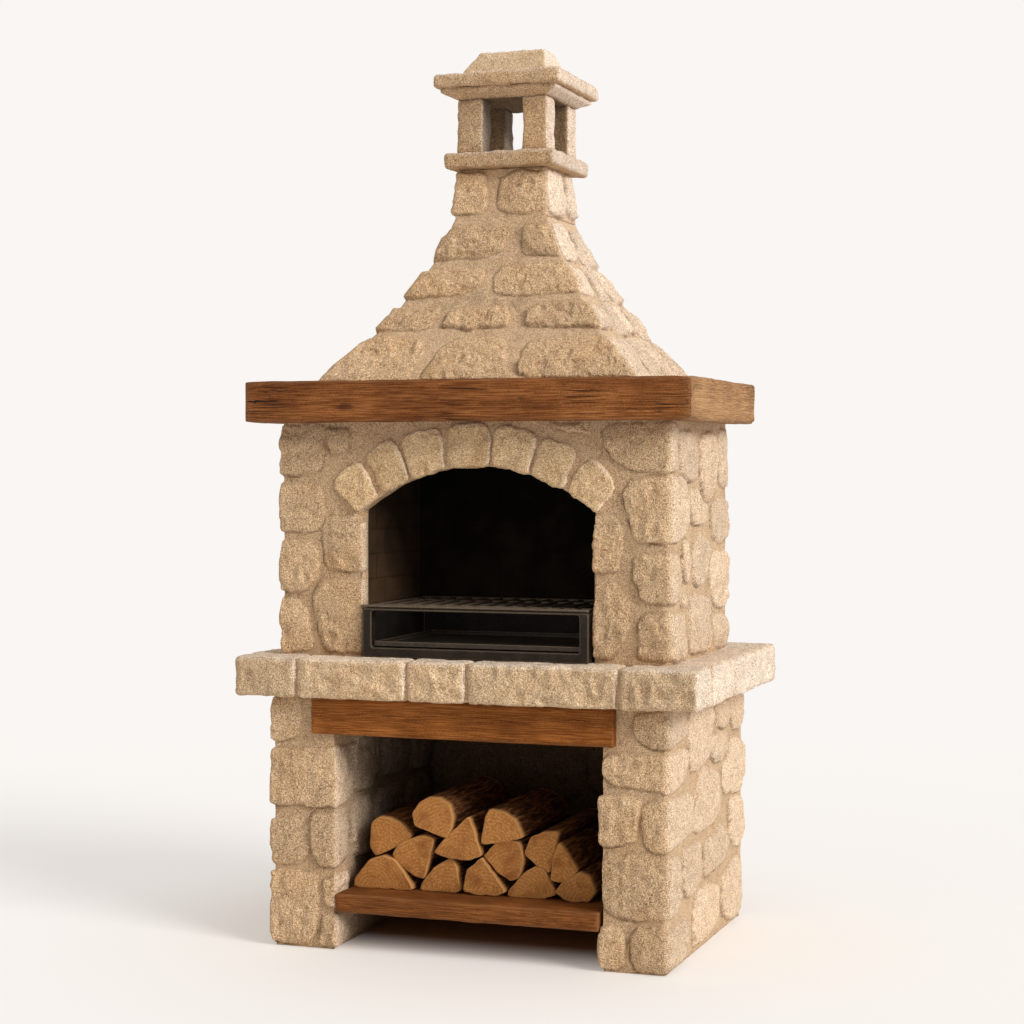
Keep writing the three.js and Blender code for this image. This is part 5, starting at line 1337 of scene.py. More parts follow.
def bent_block(corners):
    """Returns a change of shape from a flat block to a wedge of the arch with these corners."""
    degrees, outs = np.array(corners).T

    def shape(points, out):
        across = points[:, 0] / flat_wide - 0.5
        up = points[:, 2] / flat_tall - 0.5
        corner = np.abs(across * up * 4) ** 4
        pull = 1 - corner * np.where(up > 0, corner_pull_top, corner_pull_foot)
        across = across * pull + 0.5
        up = up * pull + 0.5
        shares = np.stack([(1 - across) * (1 - up), across * (1 - up), across * up, (1 - across) * up])
        angle = np.radians(degrees @ shares)
        radius = arch_radius + outs @ shares
        sine, cosine = np.sin(angle), np.cos(angle)
        x, z = arch_middle + radius * sine, arch_centre + radius * cosine
        turned_x = out[:, 0] * cosine + out[:, 2] * sine
        turned_z = out[:, 2] * cosine - out[:, 0] * sine
        bent = np.stack([x, wall_front + points[:, 1], z], axis=1)
        return bent, np.stack([turned_x, out[:, 1], turned_z], axis=1)

    return shape


def rough_front(out):
    """Rock face on the front and the sides, none on the back."""
    return np.where(out[:, 1] < 0.5, 0.9, 0)


for number, corners in enumerate(arch_stone_corners):
    flat_size = (flat_wide, arch_stone_depth, flat_tall)
    stone_block(f"arch_stone_{number + 1}", (0, 0, 0), flat_size, arch_stone_edge, arch_stone_cell,
                31 + number, rough_front, arch_block, [f"voussoir_{number + 1}"], bent_block(corners))
print("arch stones:", len(arch_stone_corners))

# %% [markdown]
# ## Hearth
# The hearth's edge stones are rock-faced at the front and sides and rubbed smoother on top. A bed of
# mortar between them shows as narrow joints.

# %% Hearth
hearth_edge = 0.011
joint_half = 0.0042
hearth_cell = 0.0064
side_rough = 1.3
top_rubbing = 0.95
arris_rubbing = 0.75
bed_setback = 0.008
bed_drop = 0.0045
bed_rise = 0.004
bed_cell = 0.012
bed_relief = 0.002
same_plane = 0.001
hearth_nodes = [name for name in frame["nodes"] if name.startswith("hearth_stone")]


def smoother_top(out):
    """Rock face on the sides, a third of it on top, and upright arrises that are rubbed smooth."""
    arris = np.abs(out[:, 0] * out[:, 1]) * 2
    return (side_rough - top_rubbing * np.abs(out[:, 2])) * (1 - arris_rubbing * arris)


def hearth():
    """The edge stones, each a little inside its space at the joints, and the mortar bed."""
    lows = np.array([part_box(name)[0] for name in hearth_nodes])
    highs = np.array([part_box(name)[1] for name in hearth_nodes])
    outer_low = lows.min(axis=0)
    outer_high = highs.max(axis=0)
    for place, name in enumerate(hearth_nodes):
        low = lows[place].copy()
        high = highs[place].copy()
        for axis in (0, 1):
            if low[axis] > outer_low[axis] + same_plane:
                low[axis] += joint_half
            if high[axis] < outer_high[axis] - same_plane:
                high[axis] -= joint_half
        high[2] -= same_plane
        stone_block(name.replace("hearth_stone", "hearth_edge"), low, high, hearth_edge, hearth_cell,
                    50 + place, smoother_top, beige_block, [name])
    low = outer_low + (bed_setback, bed_setback, bed_rise)
    high = outer_high - (bed_setback, bed_setback, bed_drop)
    corners = [(low[0], low[1]), (high[0], low[1]), (high[0], high[1]), (low[0], high[1])]
    sheet = plan_sheet(corners, low[2], high[2], [bed_cell] * 4, bed_cell)
    skin = lay_stones(sheet, [], 60, relief=bed_relief)
    wall_piece("hearth_bed", sheet, skin, beige_wall, ["hearth_core"])


hearth()
print("hearth edge stones:", len(hearth_nodes))

# %% [markdown]
# ## Hood and chimney neck
# The hood flares: its foot and the neck's foot are given in metres from the photograph, and the rings
# between them by their shares of that spread at five heights. u counts the sides left, front, right, back.
# The neck is the same skin with straight sides. Both are hollow for the smoke.

# %% Hood shape
hood_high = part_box("smoke_hood")[1]
neck_low, neck_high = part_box("chimney_neck")
mantel_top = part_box("mantel_front")[1].z
hood_rises = [0, 0.263, 0.539, 0.77, 1]
hood_spreads = {
    "half": [1, 0.638, 0.352, 0.145, 0],
    "front": [1, 0.568, 0.252, 0.077, 0],
    "back": [1, 0.95, 0.57, 0.15, 0],
}
hood_foot = {"half": 0.445, "front": -0.333, "back": 0.255}
neck_foot = {"half": 0.141, "front": -0.113, "back": 0.155}
neck_top = {"half": 0.129, "front": -0.088, "back": 0.154}
hood_round = 0.02


def smooth_curve(places, values, wanted):
    """A smooth curve through given values, by cubic pieces whose slopes are averages."""
    places = np.array(places, float)
    values = np.array(values, float)
    slopes = np.gradient(values, places)
    piece = np.clip(np.searchsorted(places, wanted, side="right") - 1, 0, len(places) - 2)
    span = places[piece + 1] - places[piece]
    t = (wanted - places[piece]) / span
    first = (1 + 2 * t) * (1 - t) ** 2 * values[piece] + t * (1 - t) ** 2 * span * slopes[piece]
    second = t * t * (3 - 2 * t) * values[piece + 1] + t * t * (t - 1) * span * slopes[piece + 1]
    return first + second


def taper_sheet(section, low, high, rows, cells):
    """The skin of a tapered shaft, whose section(rise) gives half width, front and back."""
    rise = np.linspace(0, 1, rows)
    half, front, back = section(rise)
    levels = low + rise * (high - low)
    plan = ((-half, back), (-half, front), (half, front), (half, back))
    corners = np.array([np.stack(corner, axis=1) for corner in plan])
    following = np.roll(corners, -1, axis=0)
    lengths = np.linalg.norm(following - corners, axis=2)
    u = np.concatenate([side + np.arange(steps) / steps for side, steps in enumerate(cells)])
    side = np.floor(u).astype(int)
    share = u - side
    flat = corners[side] * (1 - share[:, None, None]) + following[side] * share[:, None, None]
    flat = flat.transpose(1, 0, 2)
    walked = share * lengths[side].T
    left = lengths[side].T - walked
    outs = np.array([(-1, 0), (0, -1), (1, 0), (0, 1)], float)
    normal = np.repeat(outs[side][None], rows, axis=0)
    spot = np.zeros((rows, len(u), 3))
    spot[..., :2] = flat
    spot[..., 2] = levels[:, None]
    for near, turn in ((walked < hood_round, 0), (left < hood_round, 1)):
        after = (side[None] + turn) % 4 + np.zeros_like(walked, int)
        before = (after - 1) % 4
        reach = walked + hood_round if turn == 0 else hood_round - left
        angle = (reach / (2 * hood_round) * math.pi / 2)[..., None]
        turned = outs[before] * np.cos(angle) + outs[after] * np.sin(angle)
        sharp = corners[after, np.arange(rows)[:, None]]
        centre = sharp - (outs[before] + outs[after]) * hood_round
        spot[..., :2] = np.where(near[..., None], centre + turned * hood_round, spot[..., :2])
        normal = np.where(near[..., None], turned, normal)
    slope = np.gradient(spot, axis=0)
    slope /= np.linalg.norm(slope, axis=2)[..., None]
    out = np.zeros_like(spot)
    out[..., :2] = normal
    out -= slope * np.sum(out * slope, axis=2)[..., None]
    out /= np.linalg.norm(out, axis=2)[..., None]
    climb = np.concatenate([[0], np.cumsum(np.hypot(np.diff(levels), np.diff(half)))])

    def measure(across, up, middle):
        sides = np.array([np.interp(up, rise, length) for length in lengths])
        starts = np.concatenate([np.zeros((1, *np.shape(up))), np.cumsum(sides, axis=0)])
        whole = np.clip(np.floor(across).astype(int), 0, 3)
        walk = np.take_along_axis(starts, whole[None], 0)[0]
        walk = walk + (across - whole) * np.take_along_axis(sides, whole[None], 0)[0]
        turn = min(max(int(middle), 0), 3)
        origin = starts[turn] + (middle - turn) * sides[turn]
        return walk - origin, np.interp(up, rise, climb)

    grid_u, grid_rise = np.meshgrid(u, rise)
    return {"u": grid_u, "rise": grid_rise, "spot": spot, "out": out, "measure": measure}


def hood_section(rise):
    """Half width, front and back of the hood at a share of its height."""
    sizes = []
    for key in ("half", "front", "back"):
        spread = smooth_curve(hood_rises, hood_spreads[key], rise)
        sizes.append(neck_foot[key] + (hood_foot[key] - neck_foot[key]) * spread)
    return sizes


def neck_section(rise):
    """Half width, front and back of the neck at a share of its height."""
    return [neck_foot[key] + (neck_top[key] - neck_foot[key]) * rise for key in ("half", "front", "back")]


def inner_rings(sheet, wall):
    """The shaft's inner wall, as two rings drawn in by the wall's thickness."""
    rings = sheet["spot"][[0, -1]].copy()
    middle = (rings.min(axis=1) + rings.max(axis=1)) / 2
    reach = (rings.max(axis=1) - rings.min(axis=1)) / 2
    keep = 1 - wall / reach[:, :2]
    rings[..., :2] = middle[:, None, :2] + (rings[..., :2] - middle[:, None, :2]) * keep[:, None]
    return rings


print("hood rings at", len(hood_rises), "heights")

# %% Hood stones
hood_rows = [
    [(0.46, 0.015), (1.0, 0.012), (1.295, 0.02), (1.29, 0.2), (1.24, 0.275), (1.0, 0.285), (0.47, 0.275)],
    [(1.33, 0.02), (1.6, 0.02), (1.6, 0.2), (1.575, 0.275), (1.4, 0.29), (1.345, 0.22)],
    [(1.64, 0.02), (2.0, 0.015), (2.33, 0.02), (2.34, 0.2), (2.3, 0.265), (2.0, 0.265), (1.69, 0.265),
     (1.645, 0.18)],
    [(0.52, 0.33), (1.0, 0.325), (1.24, 0.33), (1.26, 0.41), (1.23, 0.468), (1.0, 0.465), (0.55, 0.46)],
    [(1.3, 0.33), (1.59, 0.325), (1.6, 0.4), (1.57, 0.465), (1.36, 0.475), (1.29, 0.43)],
    [(1.665, 0.335), (2.0, 0.315), (2.28, 0.32), (2.3, 0.45), (2.0, 0.475), (1.76, 0.48), (1.68, 0.44)],
    [(0.5, 0.525), (1.0, 0.52), (1.3, 0.53), (1.405, 0.58), (1.44, 0.69), (1.2, 0.7), (1.0, 0.695),
     (0.55, 0.69)],
    [(1.49, 0.55), (1.58, 0.52), (2.0, 0.535), (2.35, 0.53), (2.38, 0.69), (2.0, 0.71), (1.55, 0.71),
     (1.475, 0.65)],
    [(0.5, 0.75), (1.0, 0.74), (1.35, 0.76), (1.53, 0.79), (1.58, 0.9), (1.5, 0.955), (1.2, 0.955),
     (1.0, 0.945), (0.55, 0.94)],
    [(1.66, 0.775), (1.93, 0.755), (1.965, 0.78), (1.94, 0.94), (1.72, 0.955)],
]
hood_side_rows = [
    (2.36, 2.56, 0.02, 0.28), (2.58, 2.8, 0.015, 0.3), (2.82, 3.0, 0.02, 0.27), (2.33, 2.53, 0.3, 0.49),
    (2.55, 2.77, 0.32, 0.5), (2.79, 3.0, 0.29, 0.49), (2.4, 2.68, 0.515, 0.715), (2.7, 3.0, 0.52, 0.71),
    (2.04, 2.46, 0.74, 0.96), (2.5, 3.0, 0.73, 0.95),
    (0.0, 0.42, 0.02, 0.27), (0.0, 0.46, 0.32, 0.48), (0.0, 0.46, 0.52, 0.7), (0.0, 0.46, 0.745, 0.945),
    (3.02, 3.34, 0.02, 0.27), (3.38, 3.66, 0.02, 0.28), (3.7, 3.98, 0.02, 0.26), (3.02, 3.48, 0.32, 0.48),
    (3.53, 3.98, 0.31, 0.48), (3.02, 3.44, 0.52, 0.71), (3.5, 3.98, 0.51, 0.71), (3.04, 3.96, 0.75, 0.95),
]
neck_rows = [
    [(0.5, 0.1), (1.0, 0.08), (1.34, 0.09), (1.36, 0.55), (1.31, 0.93), (1.0, 0.95), (0.52, 0.93)],
    [(1.46, 0.2), (1.6, 0.06), (1.93, 0.08), (1.95, 0.5), (1.93, 0.93), (1.62, 0.96), (1.47, 0.75)],
    [(2.05, 0.1), (2.3, 0.04), (2.56, 0.08), (2.6, 0.5), (2.54, 0.92), (2.3, 0.95), (2.06, 0.93)],
    [(2.64, 0.1), (2.95, 0.08), (2.95, 0.94), (2.6, 0.9)],
    [(3.05, 0.08), (3.5, 0.08), (3.5, 0.94), (3.05, 0.94)],
    [(3.58, 0.08), (3.95, 0.08), (3.95, 0.94), (3.58, 0.94)],
    [(0.05, 0.08), (0.42, 0.08), (0.42, 0.94), (0.05, 0.94)],
]
skirt_rows = [
    (0.02, 0.24, 0.12, 0.9), (0.27, 0.5, 0.1, 0.88), (0.53, 0.74, 0.13, 0.92), (0.77, 0.98, 0.1, 0.9),
]
hood_relief = 0.0105
hood_thick = 0.058
hood_rings = 140
hood_columns = [38, 196, 80, 32]
hood_rough = 1.6
neck_thick = 0.044
neck_rings = 36
neck_columns = [30, 70, 44, 26]
neck_rough = 1.4
neck_bulge = 0.002
neck_sink = 0.001
skirt_cells = [0.01, 0.03, 0.03, 0.03]
skirt_row_cell = 0.006
into_mantel = 0.004
skirt_drop = 0.003


def hood():
    """The hood's skin over its rings, with the smoke way inside."""
    sheet = taper_sheet(hood_section, mantel_top - into_mantel, hood_high.z, hood_rings, hood_columns)
    stones = hood_rows + [rubble(*row, 700 + place) for place, row in enumerate(hood_side_rows)]
    skin = lay_stones(sheet, stones, 24, relief=hood_relief, left_bulge=0, roughness=hood_rough)
    wall_piece("hood_stonework", sheet, skin, hood_wall, ["smoke_hood"], inner_rings(sheet, hood_thick))


def neck():
    """The neck's skin."""
    sheet = taper_sheet(neck_section, neck_low.z - neck_sink, neck_high.z, neck_rings, neck_columns)
    skin = lay_stones(sheet, neck_rows, 25, relief=hood_relief, left_bulge=neck_bulge, roughness=neck_rough)
    wall_piece("neck_stonework", sheet, skin, hood_wall, ["chimney_neck"], inner_rings(sheet, neck_thick))


def hood_skirt():
    """The walling under the hood inside the mantel, which shows only from behind and from above."""
    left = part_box("mantel_left")[1].x
    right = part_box("mantel_right")[0].x
    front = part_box("mantel_front")[1].y
    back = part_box("firebox_wall_rear")[1].y
    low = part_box("mantel_front")[0].z
    plan = [(right, back), (left, back), (left, front), (right, front)]
    sheet = plan_sheet(plan, low, mantel_top - skirt_drop, skirt_cells, skirt_row_cell)
    skin = lay_stones(sheet, rubble_face(0, skirt_rows, 26), 26, left_bulge=0)
    skin["height"] = np.minimum(skin["height"], pocket_level)
    wall_piece("hood_skirt", sheet, skin, beige_wall, [], inner_rings(sheet, hood_thick))


hood()
hood_skirt()
neck()
print("hood, skirt and neck are built")

# %% [markdown]
# ## Chimney cap
# The cap is cut stone: a plate, four posts, a moulded course and a roof with a flat-topped pyramid. Its
# faces are worn but not rock-faced, so they take under half of the rock noise.

# %% Cap
worn_face = 0.45
cap_edge = 0.009
cap_cell = 0.0062
post_edge = 0.007
post_cell = 0.005
course_edge = 0.0035
course_cell = 0.006
pyramid_edge = 0.006
pyramid_cell = 0.005
fascia_height = 0.011
moulding_depth = 0.19
roof_slab_height = 0.036
pyramid_half = 0.12
pyramid_sink = 0.012
pyramid_keeps = (0.74, 0.33)
ceiling_shade_reach = 0.135
cap_shade_most = 0.72
cap_low, cap_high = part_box("cap_plate")
cap_middle = ((cap_low.x + cap_high.x) / 2, (cap_low.y + cap_high.y) / 2)


def drawn_in(points, middle, scales):
    """Points drawn in towards an upright line, with a scale for x and one for y."""
    points = points.copy()
    for axis in (0, 1):
        points[:, axis] = middle[axis] + (points[:, axis] - middle[axis]) * scales[axis]
    return points


def shaded_post_side(points, out):
    """Painted shade on the sides of a post that face the flue."""
    inward = -sum(out[:, axis] * np.sign(points[:, axis] - cap_middle[axis]) for axis in (0, 1))
    post_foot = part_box("cap_post_front_left")[0].z
    return np.clip(inward, 0, 1) * np.clip(0.45 + (points[:, 2] - post_foot) * 1.4, 0, cap_shade_most)


def shaded_cap_ceiling(points, out):
    """Painted shade under the moulded course, over the flue."""
    near = np.maximum(np.abs(points[:, 0] - cap_middle[0]), np.abs(points[:, 1] - cap_middle[1]))
    return np.clip(-out[:, 2] * 1.5 - 0.4, 0, 1) * np.clip((ceiling_shade_reach - near) / 0.02, 0, 1) * cap_shade_most


def moulded(points, out):
    """Draws the moulded course in below its fascia, in a hollow curve."""
    low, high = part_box("cap_architrave")
    fascia = high.z - fascia_height
    share = np.clip((fascia - points[:, 2]) / (fascia - low.z), 0, 1)
    scale = 1 - moulding_depth * np.sin(share * math.pi / 2) ** 1.5
    return drawn_in(points, cap_middle, (scale, scale)), out


def roof():
    """The roof's slab, and the flat-topped pyramid on it."""
    low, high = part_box("cap_roof")
    slab_top = low.z + roof_slab_height
    stone_block("cap_roof_slab", low, (high.x, high.y, slab_top), cap_edge, cap_cell, 77, worn_face,
                cap_stone, ["cap_roof"])
    middle = ((low.x + high.x) / 2, (low.y + high.y) / 2)

    def tapered(points, out):
        share = np.clip((points[:, 2] - slab_top) / (high.z - slab_top), 0, 1)
        return drawn_in(points, middle, [1 + (keep - 1) * share for keep in pyramid_keeps]), out

    foot = (middle[0] - pyramid_half, middle[1] - pyramid_half, slab_top - pyramid_sink)
    top = (middle[0] + pyramid_half, middle[1] + pyramid_half, high.z - 0.001)
    weathered = block_material("weathered_cap_stone", colour(252, 224, 188), colour(144, 112, 78), 0.6)
    stone_block("cap_roof_pyramid", foot, top, pyramid_edge, pyramid_cell, 78, worn_face, weathered,
                [], tapered)


def cap():
    """Plate, posts, moulded course and roof."""
    stone_block("cap_plate_stone", cap_low, cap_high, cap_edge, cap_cell, 70, worn_face, cap_stone,
                ["cap_plate"])
    for place, name in enumerate(("front_left", "front_right", "rear_left", "rear_right")):
        node = "cap_post_" + name
        stone_block(node + "_stone", *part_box(node), post_edge, post_cell, 71 + place, worn_face, cap_stone,
                    [node], soot=shaded_post_side)
    stone_block("cap_moulded_course", *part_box("cap_architrave"), course_edge, course_cell, 76, worn_face,
                cap_stone, ["cap_architrave"], moulded, shaded_cap_ceiling)
    roof()


cap()
print("cap is built")

# %% [markdown]
# ## Timber
# The mantel, lintel and shelf are hewn oak. Grain is noise stretched along the beam: broad bands, fine
# fibres and a few dark checks. It is one node group with a stretch for each direction. The beams
# themselves are worn blocks whose faces wander along the grain.

# %% Timber grain group
def timber_grain_group():
    """Wood colour and height along a stretch of the object's own coordinates."""
    group, entry, exit_ = new_group(
        "timber_grain",
        [
            ("Stretch", "Vector", (0.05, 1, 1)),
            ("Light", "Color", colour(172, 110, 62)),
            ("Middle", "Color", colour(134, 80, 42)),
            ("Dark", "Color", colour(78, 43, 22)),
            ("Checks", "Float", 1.0),
        ],
        [("Color", "Color"), ("Height", "Float")],
    )
    place = own_place(group)
    stretched = vector_reckon(group, "MULTIPLY", place, (entry, "Stretch"))
    tone = total(
        group,
        share_of(group, noise(group, stretched, 34, 1, 0.5, 0.12), 0.3, 0.7, 0.17),
        share_of(group, noise(group, place, 6, 3, 0.6), 0.32, 0.68, 0.26),
        share_of(group, noise(group, stretched, 210, 2, 0.6), 0.33, 0.67, 0.04),
        share_of(group, noise(group, stretched, 620, 1), 0.4, 0.6, 0.33),
        share_of(group, noise(group, place, 520, 1), 0.4, 0.6, 0.18),
    )
    body = blend_colours(group, between(group, tone, 0.12, 0.5), (entry, "Dark"), (entry, "Middle"))
    body = blend_colours(group, between(group, tone, 0.5, 0.88), body, (entry, "Light"))
    cracks = noise(group, stretched, 46, 1, 0.5, 0.12)
    off_centre = reckon(group, "ABSOLUTE", reckon(group, "SUBTRACT", cracks, 0.5))
    line = between(group, off_centre, 0.022, 0.004)
    here = between(group, noise(group, place, 9, 2), 0.52, 0.64)
    check = reckon(group, "MULTIPLY", reckon(group, "MULTIPLY", line, here), (entry, "Checks"))
    feed(group, blend_colours(group, check, body, colour(34, 16, 6)), exit_, "Color")
    height = reckon(group, "SUBTRACT", tone, reckon(group, "MULTIPLY", check, 1.4))
    feed(group, height, exit_, "Height")
    return group


timber_grain = timber_grain_group()
mark_fray = 0.012


def timber_mark(tree, middle, reach):
    """A mask for one long check or one knot: an ellipse with a frayed edge, 1 inside and 0 outside."""
    place = own_place(tree)
    wander = (noise(tree, place, 45, 2)[0], "Color")
    frayed = vector_reckon(tree, "MULTIPLY_ADD", wander, (mark_fray, mark_fray, mark_fray), place)
    centre = tuple(value + mark_fray / 2 for value in middle)
    centred = vector_reckon(tree, "SUBTRACT", frayed, centre)
    distance = vector_reckon(tree, "LENGTH", vector_reckon(tree, "DIVIDE", centred, reach))
    return between(tree, distance, 1, 0.6)


def timber_material(name, stretch, light, middle, dark, checks=1.0, marks=()):
    """Oak with its grain along a stretch, rubbed pale at the edges. marks are (middle, reach, share)."""
    material, tree, shader = new_material(name)
    values = {"Stretch": stretch, "Light": light, "Middle": middle, "Dark": dark, "Checks": checks}
    grain = add(tree, "Group", values, node_tree=timber_grain)
    wear = reckon(tree, "MULTIPLY", vertex_value(tree, "wear"), 0.6)
    surface = blend_colours(tree, wear, (grain, "Color"), colour(156, 118, 84))
    for middle_point, reach, share in marks:
        mask = reckon(tree, "MULTIPLY", timber_mark(tree, middle_point, reach), share)
        surface = blend_colours(tree, mask, surface, colour(38, 17, 6))
    finish_shader(tree, shader, surface, 0.66, 0.16, (grain, "Height"), 0.8, 0.002)
    return material


along_x = (0.017, 1, 1)
along_y = (1, 0.017, 1)
mantel_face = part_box("mantel_front")[0].y
lintel_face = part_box("lintel_beam")[0].y
mantel_marks = [
    ((-0.545, mantel_face, 1.4135), (0.062, 1, 0.0036), 1),
    ((-0.52, mantel_face, 1.44), (0.05, 1, 0.0024), 0.7),
    ((-0.311, mantel_face, 1.397), (0.026, 1, 0.011), 0.5),
    ((0.33, mantel_face, 1.431), (0.07, 1, 0.0017), 0.7),
    ((0.45, mantel_face, 1.384), (0.06, 1, 0.0016), 0.6),
]
lintel_marks = [
    ((0.3, lintel_face, 0.622), (0.05, 1, 0.002), 0.7),
    ((-0.12, lintel_face, 0.606), (0.06, 1, 0.0016), 0.5),
]
mantel_oak = timber_material(
    "mantel_oak", along_x, colour(178, 116, 65), colour(124, 71, 30), colour(66, 29, 5), marks=mantel_marks)
# The side beams' oak is painted paler, painted light for their outer faces towards the key lamp.
mantel_side_oak = timber_material(
    "mantel_side_oak", along_y, colour(198, 154, 108), colour(158, 116, 74), colour(98, 62, 34), 0.7)
lintel_oak = timber_material(
    "lintel_oak", along_x, colour(176, 110, 52), colour(130, 73, 23), colour(72, 32, 4), 0.5, lintel_marks)
shelf_oak = timber_material(
    "shelf_oak", along_x, colour(158, 98, 50), colour(118, 68, 27), colour(62, 30, 8), 0.5)
print("timbers:", mantel_oak.name, lintel_oak.name, shelf_oak.name)

# %% Beams
mantel_corner = 0.017
past_mitre = 0.02
shelf_ends = (-0.017, -0.019)
mitre_fade = 0.03
grain_share = 0.12
beam_top = 0.0004
arris_wear = 0.012
corner_reach = 0.028
worn_band = 0.03
worn_room = 0.012
right_wear = 0.008
left_wear = 0.002
mantel_edge = 0.01
timber_edge = 0.005
beam_cell = 0.0068
shelf_cell = 0.0095


def beam(name, node, axis, material, edge, seed, shape=None, longer=(0, 0), cell=beam_cell):
    """A hewn beam in a node's space, with its grain along an axis."""
    low, high = (np.array(corner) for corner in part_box(node))
    low[axis] -= longer[0]
    high[axis] += longer[1]
    points, out, faces = block_points(high - low, cell, edge)
    points = points + low
    quiet = np.ones(len(points))
    worn = np.zeros(len(points))
    arris = 1 - np.max(np.abs(out), axis=1)
    if shape:
        points, out, quiet, worn = shape(points, out)
    stretch = np.ones(3)
    stretch[axis] = grain_share
    lift = layers(points * stretch, (0.03, 0.0013, seed), (0.011, 0.0006, seed + 1))
    lift += (np.abs(lumps(points, 0.05, seed + 2)) - 0.5) * 0.0014
    lift -= arris * np.clip(lumps(points, 0.045, seed + 3) + 0.2, 0, 1) * arris_wear
    points = points + out * (np.minimum(lift, beam_top) * quiet)[:, None]
    piece = new_piece(name, points, faces, [material])
    edge_wear_and_highlight = np.clip(np.maximum(arris * 2, worn), 0, 1)
    write_value(piece, "wear", edge_wear_and_highlight * (0.55 + 0.45 * lumps(points, 0.03, seed + 4)))
    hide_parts(node)
    return piece


def rounded_corner(points, way):
    """Rounds the mantel's upright corner on one side in plan, and gives how near each point is to it."""
    low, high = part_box("mantel_front")
    middle_x = (high.x if way > 0 else low.x) - way * mantel_corner
    middle_y = low.y + mantel_corner
    across = (points[:, 0] - middle_x) * way
    ahead = middle_y - points[:, 1]
    reach = np.hypot(across, ahead)
    outside = (across > 0) & (ahead > 0) & (reach > mantel_corner * 0.5)
    pull = np.where(outside, np.minimum(1, mantel_corner / np.maximum(reach, 1e-6)), 1)
    points = points.copy()
    points[:, 0] = np.where(outside, middle_x + way * across * pull, points[:, 0])
    points[:, 1] = np.where(outside, middle_y - ahead * pull, points[:, 1])
    near = np.clip(1 - np.abs(across - ahead) / worn_band, 0, 1)
    near = near * (across > -worn_room) * (ahead > -worn_room)
    middle_z = (low.z + high.z) / 2
    from_middle = (points[:, 2] - middle_z) / (high.z - low.z) * 2
    from_corner = np.hypot(across - mantel_corner, ahead - mantel_corner)
    deep = right_wear if way > 0 else left_wear
    worn_down = deep * np.exp(-((from_corner / corner_reach) ** 2)) * np.abs(from_middle) ** 5
    points[:, 2] -= worn_down * np.sign(from_middle)
    return points, near


def mitred(points, out):
    """Cuts the front beam's ends back at 45 degrees and rounds the corners."""
    low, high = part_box("mantel_front")
    middle = (low.x + high.x) / 2
    reach = (high.x - low.x) / 2 - np.clip(points[:, 1] - low.y, 0, None)
    points = points.copy()
    points[:, 0] = middle + np.clip(points[:, 0] - middle, -reach, reach)
    quiet = np.clip((reach - np.abs(points[:, 0] - middle)) / mitre_fade, 0, 1)
    points, right = rounded_corner(points, 1)
    points, left = rounded_corner(points, -1)
    return points, out, quiet, np.maximum(left, right)


def side_mitre(way):
    """Cuts a side beam's front end along the same line."""
    low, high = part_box("mantel_right" if way > 0 else "mantel_left")

    def shape(points, out):
        across = np.abs((high.x if way > 0 else low.x) - points[:, 0])
        limit = low.y + across
        points = points.copy()
        points[:, 1] = np.maximum(points[:, 1], limit)
        quiet = np.clip((points[:, 1] - limit) / mitre_fade, 0, 1)
        points, near = rounded_corner(points, way)
        return points, out, quiet, near

    return shape


beam("mantel_front_beam", "mantel_front", 0, mantel_oak, mantel_edge, 80, mitred, (past_mitre, past_mitre))
for side, way, seed in (("left", -1, 84), ("right", 1, 88)):
    node = "mantel_" + side
    beam(node + "_beam", node, 1, mantel_side_oak, mantel_edge, seed, side_mitre(way), (past_mitre, 0))
beam("lintel_timber", "lintel_beam", 0, lintel_oak, timber_edge, 92)
beam("shelf_timber", "log_shelf", 0, shelf_oak, timber_edge, 96, longer=shelf_ends, cell=shelf_cell)
print("beams are built")

# %% [markdown]
# ## Split logs
# A log's end is pale and shows rings and splits, its bark is dark and ridged. Each log is its outline
# drawn back along its length, ring by ring, with the bark noise growing outwards, and its ends are
# closed by smaller rings that dish a little.

